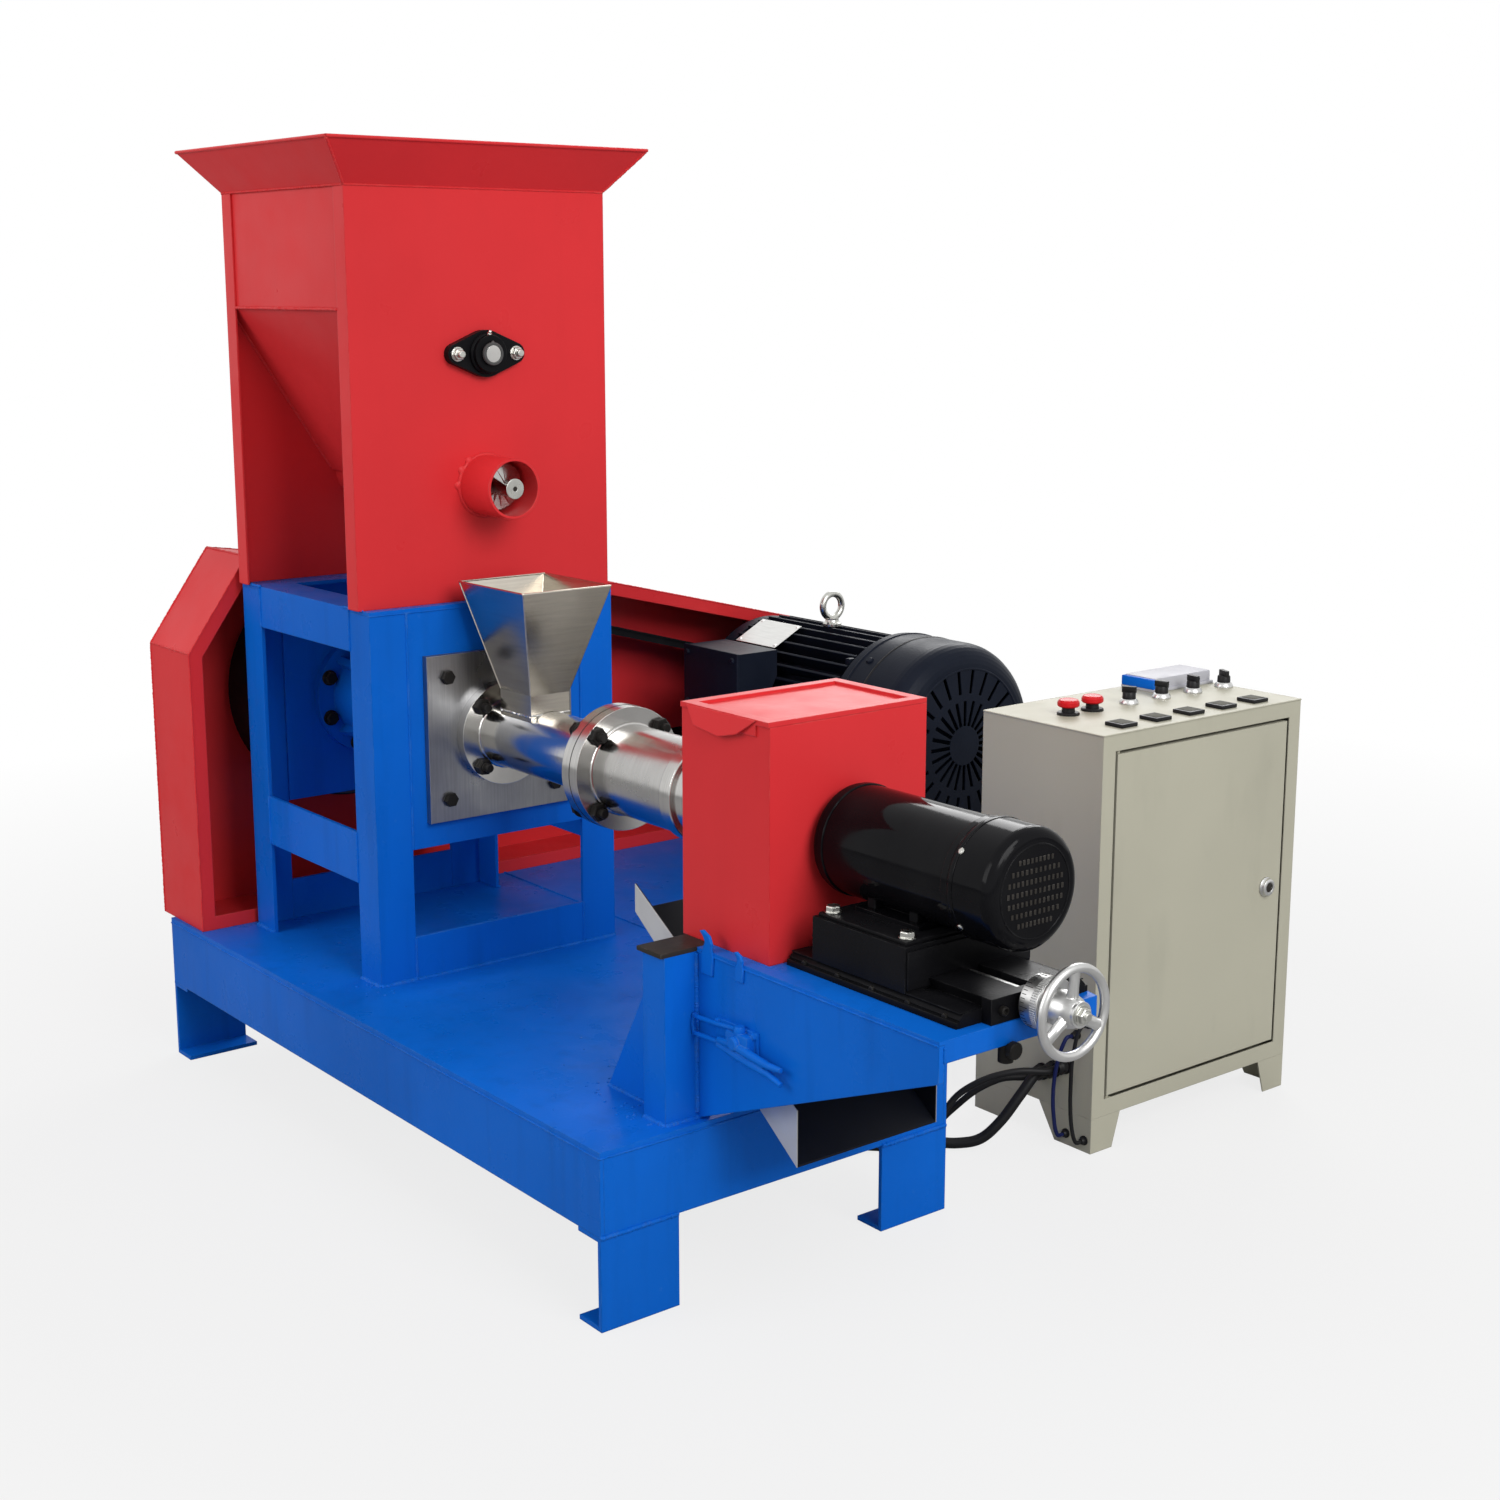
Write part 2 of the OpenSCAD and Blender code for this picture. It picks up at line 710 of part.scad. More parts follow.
module side_channels() {
    color("royalblue") placed() {
        channel_x(deck_x0, deck_x1, deck_y0, 1);
        channel_x(deck_x0, deck_x1, deck_y1, -1);
        channel_x(deck_x0, platform_x1, platform_y1, -1);
    }
}

module end_channels() {
    deck_span = [deck_y0 + channel_t, deck_y1 - channel_t];
    cope = channel_flange - channel_t;
    color("royalblue") placed() {
        channel_y(deck_span[0], deck_span[1], deck_x1, -1, cope, cope);
        channel_y(deck_span[0], deck_span[1], deck_x0, 1, cope, cope);
        channel_y(deck_y1, platform_y1 - channel_t, platform_x1, -1, 0, cope);
        channel_y(deck_y1, platform_y1 - channel_t, deck_x0, 1, 0, cope);
    }
}

module base_feet() {
    color("royalblue") placed() {
        for (y0 = [deck_y0, deck_y1 - foot_w]) {
            foot(deck_x1, y0, -1);
            foot(deck_x0, y0, 1);
        }
        foot(platform_x1, platform_y1 - foot_w, -1);
        foot(deck_x0, platform_y1 - foot_w, 1);
    }
}

module motor_rails() {
    color("royalblue") placed()
        for (side = [-1, 1])
            translate([0, motor_y + side * motor_foot_y, 0])
                block([frame_x0, -rail_w / 2, deck_top], [frame_x1, rail_w / 2, deck_top + rail_h]);
}

// Corner post of angle steel with its outer corner at the given place
module angle_post(x, y, to_x, to_y) {
    block(
        [min(x, x + to_x * post_w), min(y, y + to_y * post_t), deck_top],
        [max(x, x + to_x * post_w), max(y, y + to_y * post_t), post_top]
    );
    block(
        [min(x, x + to_x * post_t), min(y, y + to_y * post_w), deck_top],
        [max(x, x + to_x * post_t), max(y, y + to_y * post_w), post_top]
    );
}

module pedestal_posts() {
    color("royalblue") placed()
        for (side = [-1, 1]) {
            angle_post(0, side * ped_y, -1, -side);
            angle_post(ped_x0, side * ped_y, 1, -side);
        }
}

module pedestal_side_rails() {
    x0 = ped_x0 + post_w;
    color("royalblue") placed()
        both_sides() {
            block([x0, ped_y - post_t, side_mid_z0], [-post_w, ped_y, side_mid_z0 + mid_rail_h]);
            block([x0, ped_y - post_t, ped_top - top_rail_h], [-post_w, ped_y, ped_top]);
            block([x0, ped_y - post_w, post_top], [-post_w, ped_y, ped_top]);
        }
}

module pedestal_end_rails() {
    y = ped_y - post_w;
    z1 = deck_top + bottom_rail_h;
    color("royalblue") placed() {
        block([-post_t, -y, deck_top], [0, y, z1]);
        block([ped_x0, -y, deck_top], [ped_x0 + post_t, y, z1]);
        block([-post_w, -ped_y, post_top], [0, ped_y, ped_top]);
        block([ped_x0, -ped_y, post_top], [ped_x0 + post_w, ped_y, ped_top]);
    }
}

module wall_plate(x0) {
    y = ped_y - post_w;
    difference() {
        block([x0, -y, wall_plate_z0], [x0 + wall_plate_t, y, post_top]);
        round_x(x0 - cut, x0 + wall_plate_t + cut, bore_r);
    }
}

module pedestal_plates() {
    color("royalblue") placed() {
        wall_plate(-wall_plate_t);
        wall_plate(ped_x0);
    }
}

// Bearing housing of the spindle: flange, barrel, gusset ribs and end cover
module spindle_housing() {
    x0 = ped_x0 + wall_plate_t;
    x1 = x0 + housing_length;
    rib_t = 12;
    rib_reach = housing_flange_r - rib_t;
    rib_x0 = x0 + housing_flange_t / 2;
    rib_x1 = x1 - rib_t;
    rib_base = spindle_r + rib_t;
    rib_end = housing_r - rib_t / 2;
    color("royalblue") placed()
        difference() {
            union() {
                round_x(x0, x0 + housing_flange_t, housing_flange_r);
                round_x(x0, x1, housing_r);
                round_x(x1, x1 + bearing_cover_t, bearing_cover_r);
                translate([0, 0, screw_z])
                    for (turn = [45 : 90 : 315])
                        rotate([turn, 0, 0])
                            prism_y(-rib_t / 2, rib_t / 2)
                                polygon([[rib_x0, rib_base], [rib_x0, rib_reach], [rib_x1, rib_end], [rib_x1, rib_base]]);
            }
            round_x(x0 - cut, x1 + bearing_cover_t + cut, spindle_r + running_gap);
        }
}

// Spindle through the pulley, the housing and the coupling, with the extruder screw
module main_spindle() {
    coupling_x0 = ped_x0 + wall_plate_t + housing_length + bearing_cover_t + shaft_hole_gap;
    screw_x0 = inlet_x0 + flange_t;
    color("silver") placed() {
        difference() {
            union() {
                round_x(pulley_x0, coupling_x0, spindle_r);
                round_x(coupling_x0, coupling_x0 + coupling_length, coupling_r);
                round_x(coupling_x0 + coupling_length, outlet_x1, screw_root_r);
            }
            round_x(pulley_x0 - cut, pulley_x0 + spindle_r, spindle_r / 4);
        }
        flight(screw_x0, outlet_x1, screw_root_r - flight_root, bore_r - screw_gap, screw_pitch, flight_t, screw_z);
    }
}

// Half section of a grooved pulley: radius against place along its shaft
function pulley_section(r, bore) = concat(
    [[bore, 0], [r, 0]],
    [
        for (i = [0 : groove_count - 1])
            let (
                middle = pulley_w / 2 + (i - (groove_count - 1) / 2) * groove_pitch,
                half = groove_w / 2,
                floor_half = half - groove_depth / 4
            )
            each [
                [r, middle - half],
                [r - groove_depth, middle - floor_half],
                [r - groove_depth, middle + floor_half],
                [r, middle + half]
            ]
    ],
    [[r, pulley_w], [bore, pulley_w]]
);

module large_pulley() {
    rim_wall = 14;
    hub_wall = 28;
    web_t = 24;
    rim_t = groove_depth + rim_wall;
    hub_r = spindle_r + hub_wall;
    color("dimgray") placed()
        difference() {
            revolve_x(pulley_x0, 0, screw_z) polygon(pulley_section(large_pulley_r, spindle_r));
            for (x = [pulley_x0 - cut, pulley_x + web_t / 2])
                difference() {
                    round_x(x, x + (pulley_w - web_t) / 2 + cut, large_pulley_r - rim_t);
                    round_x(x - cut, x + pulley_w, hub_r);
                }
        }
}

// Motor pulley with the motor's shaft end
module motor_pulley() {
    color("dimgray") placed() {
        revolve_x(pulley_x0, motor_y, motor_z) polygon(pulley_section(motor_pulley_r, 0));
        round_x(pulley_x, motor_x0 + shield_t / 2, motor_shaft_r, motor_y, motor_z);
    }
}

// Loop round both pulleys at a distance from the groove floors
module belt_outline(grow) {
    span = [motor_y, motor_z - screw_z];
    big = large_pulley_r - groove_depth + grow;
    small = motor_pulley_r - groove_depth + grow;
    lean = atan2(span[1], span[0]);
    wrap = acos((big - small) / norm(span));
    function tangent(r, side) = r * [cos(lean + side * wrap), sin(lean + side * wrap)];
    translate([0, screw_z]) {
        circle(r = big);
        translate(span) circle(r = small);
        polygon([tangent(big, 1), tangent(big, -1), span + tangent(small, -1), span + tangent(small, 1)]);
    }
}

// Joined V-belts: ribs in the grooves under one back
module drive_belts() {
    belt_w = groove_w / 2;
    back_w = (groove_count - 1) * groove_pitch + groove_w;
    rib_gap = 2;
    joint_t = 1;
    color("black") placed() {
        difference() {
            union() {
                for (i = [0 : groove_count - 1])
                    translate([pulley_x + (i - (groove_count - 1) / 2) * groove_pitch, 0, 0])
                        prism_x(-belt_w / 2, belt_w / 2) belt_outline(groove_depth + joint_t);
                prism_x(pulley_x - back_w / 2, pulley_x + back_w / 2) belt_outline(rib_gap + belt_t);
            }
            prism_x(pulley_x - back_w, pulley_x + back_w) belt_outline(rib_gap);
            for (i = [0 : groove_count])
                translate([pulley_x + (i - groove_count / 2) * groove_pitch, 0, 0])
                    prism_x(-(groove_pitch - belt_w) / 2, (groove_pitch - belt_w) / 2) belt_outline(groove_depth + joint_t);
        }
    }
}

// Belt guard: a tray open towards the pedestal, with a return lip round its edge
module belt_guard() {
    color("crimson") placed()
        difference() {
            prism_x(guard_x0, guard_x1) polygon(guard_outline);
            prism_x(guard_x0 + guard_t, guard_x1 - guard_t) polygon(inset(guard_outline, guard_t));
            prism_x(guard_x0 + guard_t, guard_x1 + cut) polygon(inset(guard_outline, guard_lip));
        }
}

// Frame of the drive motor: a shell with lengthwise fins, and its feet
module motor_body() {
    foot_z = deck_top + rail_h;
    color("midnightblue") placed()
        translate([0, motor_y, 0])
            difference() {
                union() {
                    round_x(frame_x0, frame_x1, frame_r, 0, motor_z);
                    translate([0, 0, motor_z])
                        for (i = [0 : fin_count - 1])
                            rotate([360 * (i + 0.5) / fin_count, 0, 0])
                                block([frame_x0, -fin_t / 2, frame_r - fin_t], [frame_x1, fin_t / 2, fin_r]);
                    for (side = [-1, 1])
                        translate([0, side * motor_foot_y, 0])
                            block(
                                [frame_x0 + (frame_length - motor_foot_length) / 2, -motor_foot_w / 2, foot_z],
                                [frame_x1 - (frame_length - motor_foot_length) / 2, motor_foot_w / 2, foot_z + motor_foot_t]
                            );
                    for (side = [-1, 1], x = [frame_x0 + fin_h, frame_x1 - fin_h - motor_foot_t])
                        prism_x(x, x + motor_foot_t)
                            polygon([
                                [side * (motor_foot_y - motor_foot_w / 2), foot_z],
                                [side * (motor_foot_y + motor_foot_w / 2), foot_z],
                                [side * (motor_foot_y + motor_foot_w / 2), foot_z + motor_foot_t],
                                [side * frame_r / 2, motor_z],
                                [0, motor_z]
                            ]);
                }
                round_x(frame_x0 - cut, frame_x0 + cut, motor_shaft_r + shaft_hole_gap, 0, motor_z);
            }
}

module motor_end_shields() {
    round_edge = 12;
    lip = 10;
    color("midnightblue") placed() {
        difference() {
            revolve_x(motor_x0, motor_y, motor_z)
                polygon(concat(
                    [[0, shield_t], [shield_r, shield_t]],
                    arc([shield_r - round_edge, round_edge], round_edge, 0, -90),
                    [[motor_shaft_r + 2 * lip, 0], [motor_shaft_r + lip, -lip / 2], [0, -lip / 2]]
                ));
            round_x(motor_x0 - lip, frame_x0 - lip, motor_shaft_r + running_gap, motor_y, motor_z);
        }
        round_x(frame_x1, cowl_x0, shield_r, motor_y, motor_z);
    }
}

// Fan cowl with a grille of radial slots in its end
module motor_fan_cowl() {
    slot_w = 7;
    hub_r = 34;
    ring_gap = 12;
    face_r = cowl_r - cowl_round;
    ring_depth = (face_r - hub_r - ring_gap) / 2;
    color("midnightblue") placed()
        difference() {
            revolve_x(cowl_x0, motor_y, motor_z)
                polygon(concat(
                    [[0, cowl_length], [face_r, cowl_length]],
                    arc([face_r, cowl_length - cowl_round], cowl_round, 90, 0),
                    [[cowl_r, -shield_t / 2], [shield_r, -shield_t / 2], [shield_r, 0], [cowl_r - cowl_t, 0]],
                    arc([face_r, cowl_length - cowl_round], cowl_round - cowl_t, 0, 90),
                    [[0, cowl_length - cowl_t]]
                ));
            translate([cowl_x0 + cowl_length, motor_y, motor_z])
                for (ring = [0, 1], i = [0 : cowl_slots - 1])
                    rotate([360 * (i + ring / 2) / cowl_slots, 0, 0])
                        block(
                            [-cowl_t - cut, -slot_w / 2, hub_r + ring * (ring_depth + ring_gap)],
                            [cut, slot_w / 2, hub_r + ring * (ring_depth + ring_gap) + ring_depth]
                        );
        }
}

module motor_terminal_box() {
    x0 = frame_x0 + fin_h;
    y1 = motor_y - frame_r;
    z0 = motor_z + motor_shaft_r;
    color("midnightblue") placed()
        difference() {
            block([x0, y1 - fin_h - terminal_depth, z0], [x0 + terminal_length, y1, z0 + terminal_h]);
            round_x(x0 - cut, x0 + terminal_length + cut, fin_r + running_gap, motor_y, motor_z);
        }
}

module motor_lifting_eye() {
    x = (frame_x0 + frame_x1) / 2;
    collar_h = 9;
    ring_z = motor_z + fin_r + collar_h + eye_r + eye_rod_r;
    color("silver") placed()
        translate([x, motor_y, 0]) {
            translate([0, 0, motor_z + fin_r + running_gap])
                cylinder(h = collar_h + eye_rod_r, r = 2 * eye_rod_r);
            translate([0, 0, ring_z])
                rotate([0, 90, 0])
                    rotate_extrude() translate([eye_r, 0]) circle(r = eye_rod_r);
        }
}

// Full-height hopper plate folded back at both edges; the fold goes towards to_x
module hopper_plate(x, to_x, feed_hole_r) {
    inner_x = x + to_x * hopper_t;
    fold_x = x + to_x * fold_w;
    difference() {
        union() {
            block([min(x, inner_x), -hop_y, ped_top], [max(x, inner_x), hop_y, hop_top]);
            both_sides()
                block([min(x, fold_x), wall_y, ped_top], [max(x, fold_x), hop_y, hop_top]);
        }
        round_x(min(x, inner_x) - cut, max(x, inner_x) + cut, feed_hole_r, 0, feed_z);
        round_x(min(x, inner_x) - cut, max(x, inner_x) + cut, feed_shaft_r + shaft_hole_gap, 0, agitator_z);
    }
}

module hopper_front_plate() { color("crimson") placed() hopper_plate(hop_x1, -1, feed_tube_r + running_gap); }

module hopper_rear_plate() { color("crimson") placed() hopper_plate(hop_x0, 1, feed_shaft_r + shaft_hole_gap); }

module hopper_side_walls() {
    color("crimson") placed()
        both_sides()
            block(
                [hop_x0 + hopper_t, wall_y - hopper_t, hop_top - side_wall_h],
                [hop_x1 - hopper_t, wall_y, hop_top]
            );
}

module hopper_slopes() {
    z1 = hop_top - side_wall_h;
    sheet_w = hopper_t * 2;
    color("crimson") placed()
        both_sides()
            prism_x(hop_x0 + hopper_t, hop_x1 - hopper_t)
                polygon([
                    [feed_tube_r, feed_z],
                    [feed_tube_r + sheet_w, feed_z],
                    [wall_y, z1],
                    [wall_y - sheet_w, z1]
                ]);
}

// Rim of four mitred sheets that flare outwards
module hopper_rim() {
    lean_t = hopper_t * 1.5;
    function ring(grow, z) = [
        [hop_x0 - grow, -hop_y - grow, z],
        [hop_x1 + grow, -hop_y - grow, z],
        [hop_x1 + grow, hop_y + grow, z],
        [hop_x0 - grow, hop_y + grow, z]
    ];
    low_out = ring(0, hop_top);
    low_in = ring(-lean_t, hop_top);
    top_out = ring(rim_flare, hop_top + rim_h);
    top_in = ring(rim_flare - lean_t, hop_top + rim_h);
    color("crimson") placed()
        for (i = [0 : 3])
            let (j = (i + 1) % 4)
                loft([low_out[j], low_out[i], low_in[i], low_in[j]], [top_out[j], top_out[i], top_in[i], top_in[j]]);
}

// Feed tube: whole ahead of the hopper, and cut open along its top inside it
module feed_tube() {
    x0 = hop_x0 + hopper_t;
    x1 = hop_x1 + feed_tube_reach;
    color("crimson") placed()
        difference() {
            round_x(x0, x1, feed_tube_r, 0, feed_z);
            round_x(x0 - cut, x1 + cut, feed_tube_r - feed_tube_t, 0, feed_z);
            block(
                [x0 - cut, -2 * feed_tube_r, feed_z],
                [hop_x1 - hopper_t, 2 * feed_tube_r, feed_z + 2 * feed_tube_r]
            );
        }
}

module feed_screw() {
    shaft_x0 = hop_x0 - chain_cover_t - gearbox_depth / 2;
    shaft_x1 = hop_x1 + feed_tube_reach;
    color("silver") placed() {
        difference() {
            round_x(shaft_x0, shaft_x1, feed_shaft_r, 0, feed_z);
            round_x(shaft_x1 - feed_shaft_r, shaft_x1 + cut, feed_shaft_r / 3, 0, feed_z);
        }
        flight(
            hop_x0 + hopper_t + shaft_hole_gap, shaft_x1 - feed_shaft_r, feed_shaft_r - flight_root, feed_screw_r,
            feed_pitch, feed_flight_t, feed_z
        );
    }
}

module agitator() {
    x0 = hop_x0 - chain_cover_t + shaft_hole_gap;
    x1 = hop_x1 + bearing_h;
    finger_count = 5;
    finger_gap = (hopper_depth - 2 * hopper_t) / (finger_count + 1);
    color("silver") placed() {
        round_x(x0, x1, feed_shaft_r, 0, agitator_z);
        for (i = [1 : finger_count])
            translate([hop_x0 + hopper_t + i * finger_gap, 0, agitator_z])
                rotate([i * 90, 0, 0])
                    translate([0, 0, -finger_reach])
                        cylinder(h = 2 * finger_reach, r = finger_r);
    }
}

// Two-bolt flange bearing on the hopper's front
module agitator_bearing() {
    half = bearing_bolts / 2;
    lean = acos((bearing_r - bearing_ear_r) / half);
    function edge(centre, r, a) = [centre + r * cos(a), agitator_z + r * sin(a)];
    color("black") placed()
        difference() {
            union() {
                prism_x(hop_x1, hop_x1 + bearing_foot_t) {
                    translate([0, agitator_z]) circle(r = bearing_r);
                    for (side = [-1, 1])
                        translate([side * half, agitator_z]) circle(r = bearing_ear_r);
                    polygon([
                        edge(half, bearing_ear_r, lean), edge(0, bearing_r, lean),
                        edge(0, bearing_r, 180 - lean), edge(-half, bearing_ear_r, 180 - lean),
                        edge(-half, bearing_ear_r, lean - 180), edge(0, bearing_r, lean - 180),
                        edge(0, bearing_r, -lean), edge(half, bearing_ear_r, -lean)
                    ]);
                }
                round_x(hop_x1, hop_x1 + bearing_h - bearing_foot_t / 2, bearing_r - bearing_ear_r / 2, 0, agitator_z);
            }
            round_x(hop_x1 - cut, hop_x1 + bearing_h + cut, feed_shaft_r + running_gap, 0, agitator_z);
        }
}

// Closed cover of the chain between the agitator and the feed screw
module feeder_chain_cover() {
    x0 = hop_x0 - chain_cover_t;
    color("crimson") placed()
        difference() {
            prism_x(x0, hop_x0) {
                for (z = [feed_z, agitator_z])
                    translate([0, z]) circle(r = chain_cover_r);
                translate([-chain_cover_r, feed_z]) square([2 * chain_cover_r, agitator_above]);
            }
            round_x(x0 - cut, hop_x0 + cut, feed_shaft_r + running_gap, 0, feed_z);
            round_x(x0 + shaft_hole_gap / 2, hop_x0 + cut, feed_shaft_r + running_gap, 0, agitator_z);
        }
}

// Worm gearbox behind the chain cover
module worm_gearbox() {
    x1 = hop_x0 - chain_cover_t;
    half = gearbox_side / 2;
    edge = 14;
    difference() {
        prism_x(x1 - gearbox_depth, x1)
            polygon([
                [-half + edge, feed_z - half], [half - edge, feed_z - half], [half, feed_z - half + edge],
                [half, feed_z + half - edge], [half - edge, feed_z + half], [-half + edge, feed_z + half],
                [-half, feed_z + half - edge], [-half, feed_z - half + edge]
            ]);
        round_x(x1 - gearbox_depth / 2 - shaft_hole_gap, x1 + cut, feed_shaft_r + running_gap, 0, feed_z);
    }
}

// Half section of the feeder motor: radius against distance from the gearbox
function feeder_motor_section(flange, cap, edge) = concat(
    [
        [0, 0], [feeder_motor_r, 0], [feeder_motor_r, flange], [feeder_motor_r - flange / 2, flange],
        [feeder_motor_r - flange / 2, feeder_motor_length - cap], [feeder_motor_r, feeder_motor_length - cap]
    ],
    arc([feeder_motor_r - edge, feeder_motor_length - edge], edge, 0, 90),
    [[0, feeder_motor_length]]
);

module feeder_gearmotor() {
    color("slategray") placed() {
        worm_gearbox();
        translate([hop_x0 - chain_cover_t - gearbox_depth / 2, gearbox_side / 2, feed_z])
            rotate([-90, 0, 0])
                rotate_extrude() polygon(feeder_motor_section(10, 46, 10));
    }
}

module barrel_plate() {
    half = barrel_plate_side / 2;
    color("silver") placed()
        difference() {
            block([0, -half, screw_z - half], [barrel_plate_t, half, screw_z + half]);
            round_x(-cut, barrel_plate_t + cut, bore_r);
        }
}

module barrel_inlet() {
    color("silver") placed()
        difference() {
            union() {
                round_x(inlet_x0, inlet_x0 + flange_t, root_flange_r);
                round_x(inlet_x0, inlet_x1, inlet_r);
                round_x(inlet_x1 - flange_t, inlet_x1, mid_flange_r);
            }
            round_x(inlet_x0 - cut, inlet_x1 + cut, bore_r);
            block(
                [throat_x0, -throat_w / 2 + funnel_t, screw_z],
                [throat_x0 + throat_length, throat_w / 2 - funnel_t, screw_z + 2 * inlet_r]
            );
        }
}

module barrel_outlet() {
    collar_gap = 45;
    collar_x1 = box_x0 - collar_gap;
    color("silver") placed()
        difference() {
            union() {
                round_x(inlet_x1, inlet_x1 + flange_t, mid_flange_r);
                round_x(inlet_x1, outlet_x1, outlet_r);
                round_x(collar_x1 - collar_length, collar_x1, collar_r);
            }
            round_x(inlet_x1 - cut, outlet_x1 + cut, bore_r);
        }
}

module die_head() {
    hole_r = 3;
    hole_circle_r = 22;
    hole_count = 8;
    color("silver") placed()
        difference() {
            round_x(outlet_x1, die_x1, die_r);
            round_x(outlet_x1 - cut, outlet_x1 + die_t / 2, bore_r);
            for (i = [0 : hole_count - 1])
                round_x(
                    outlet_x1, die_x1 + cut, hole_r,
                    hole_circle_r * cos(360 * i / hole_count), screw_z + hole_circle_r * sin(360 * i / hole_count)
                );
        }
}

// Space of the funnel and its neck, as two crossed outlines
module funnel_space(grow, over) {
    top_z = screw_z + funnel_top + over;
    neck_z = screw_z + throat_top;
    throat_half = throat_w / 2 - funnel_t + grow;
    mouth_half = funnel_w / 2 - funnel_t + grow;
    throat_x1 = throat_x0 + throat_length;
    mouth_x1 = funnel_x0 + funnel_length;
    intersection() {
        prism_y(-funnel_w, funnel_w)
            polygon([
                [funnel_x0 - grow, top_z], [mouth_x1 + grow, top_z], [throat_x1 + grow, neck_z],
                [throat_x1 + grow, screw_z], [throat_x0 - grow, screw_z], [throat_x0 - grow, neck_z]
            ]);
        prism_x(funnel_x0 - funnel_w, mouth_x1 + funnel_w)
            polygon([
                [-mouth_half, top_z], [mouth_half, top_z], [throat_half, neck_z],
                [throat_half, screw_z - over], [-throat_half, screw_z - over], [-throat_half, neck_z]
            ]);
    }
}

// Sheet funnel over the barrel's throat, upright at its rear
module feed_funnel() {
    color("silver") placed()
        difference() {
            funnel_space(funnel_t, 0);
            funnel_space(0, cut);
            round_x(throat_x0 - inlet_r, throat_x0 + throat_length + inlet_r, inlet_r + running_gap);
        }
}

module arm_posts() {
    gusset_top = arm_z - table_t;
    color("royalblue") placed()
        both_sides() {
            block([arm_x0 - arm_post_d, arm_post_y, deck_top], [arm_x0, arm_post_y + arm_post_w, arm_z]);
            block(
                [arm_x0 - arm_post_d - post_cap_t, arm_post_y, arm_z],
                [arm_x0, arm_post_y + arm_post_w + post_cap_t, arm_z + post_cap_t]
            );
            prism_y(arm_post_y + arm_post_w / 2, arm_post_y + arm_post_w / 2 + arm_t)
                polygon([
                    [arm_x0 - arm_post_d - gusset_length, deck_top],
                    [arm_x0 - arm_post_d, deck_top],
                    [arm_x0 - arm_post_d, gusset_top]
                ]);
        }
}

// Side plates of the arm: the far one ends where the table's corner is cut
module arm_plates() {
    color("royalblue") placed()
        for (plate = [[-arm_half_w, arm_x1], [arm_half_w - arm_t, arm_far_x1]])
            prism_y(plate[0], plate[0] + arm_t)
                polygon([[arm_x0, deck_top], [arm_x0, arm_z], [plate[1], arm_z], [plate[1], arm_z - arm_tip_h]]);
}

// Table of the arm, notched under the guard and cut at its far corner
module arm_table() {
    notch_x1 = box_x1 - 2 * arm_t;
    inner_y = arm_half_w - arm_t;
    color("royalblue") placed() {
        difference() {
            translate([0, 0, arm_z])
                linear_extrude(table_t)
                    polygon([
                        [arm_x0, -arm_half_w], [arm_x1, -arm_half_w], [arm_x1, arm_half_w - corner_cut],
                        [arm_far_x1, arm_half_w], [arm_x0, arm_half_w]
                    ]);
            block([arm_x0 - cut, -chute_w / 2, arm_z - cut], [notch_x1, chute_w / 2, table_z + cut]);
        }
        block([arm_x1 - arm_t, -inner_y, arm_z - arm_tip_h / 2], [arm_x1, arm_half_w - corner_cut, arm_z]);
    }
}

// Toggle latch on the near arm plate: base, lever and wire loop
module arm_latch() {
    x0 = arm_x0 + 20;
    z = arm_z - 105;
    plate_l = 70;
    plate_h = 34;
    plate_t = 5;
    lever_l = 120;
    lever_h = 22;
    wire_r = 3;
    y = -arm_half_w;
    color("royalblue") placed() {
        block([x0, y - plate_t, z], [x0 + plate_l, y, z + plate_h]);
        prism_y(y - 3 * plate_t, y - plate_t)
            polygon([[x0, z + 4], [x0 + lever_l, z - lever_h], [x0 + lever_l, z], [x0, z + 4 + lever_h]]);
        for (dz = [0, plate_h - 2 * wire_r])
            round_x(arm_x0 + running_gap, x0 + plate_l / 2, wire_r, y - plate_t + 1, z + dz + wire_r);
    }
}

module chute() {
    z0 = table_z + 1;
    slope = chute_fall / chute_run;
    half = chute_w / 2;
    tab_x = arm_x0 - arm_post_d / 2;
    tab_l = 24;
    tab_z = z0 - slope * (tab_x - chute_x0);
    color("silver") placed() {
        prism_y(-half, half)
            polygon([
                [chute_x0, z0], [chute_x0 + chute_run, z0 - chute_fall],
                [chute_x0 + chute_run, z0 - chute_fall - chute_t], [chute_x0, z0 - chute_t]
            ]);
        both_sides() {
            prism_y(half - chute_t, half)
                polygon([
                    [chute_x0, z0], [chute_x0, z0 + chute_wall_h / 2],
                    [chute_x0 + chute_run, z0 - chute_fall + chute_wall_h], [chute_x0 + chute_run, z0 - chute_fall]
                ]);
            block([tab_x - tab_l / 2, half, tab_z + tab_l], [tab_x + tab_l / 2, arm_post_y, tab_z + 2 * tab_l]);
        }
    }
}

// Cutter guard: four sheet walls with holes for the barrel and the motor's nose
module cutter_guard() {
    half = box_w / 2;
    barrel_gap = 3;
    z1 = table_z + box_h;
    color("crimson") placed()
        difference() {
            block([box_x0, -half, table_z], [box_x1, half, z1]);
            block([box_x0 + box_t, -half + box_t, table_z - cut], [box_x1 - box_t, half - box_t, z1 + cut]);
            round_x(box_x0 - cut, box_x0 + box_t + cut, outlet_r + barrel_gap);
            round_x(box_x1 - box_t - cut, box_x1 + cut, nose_hole_r);
        }
}

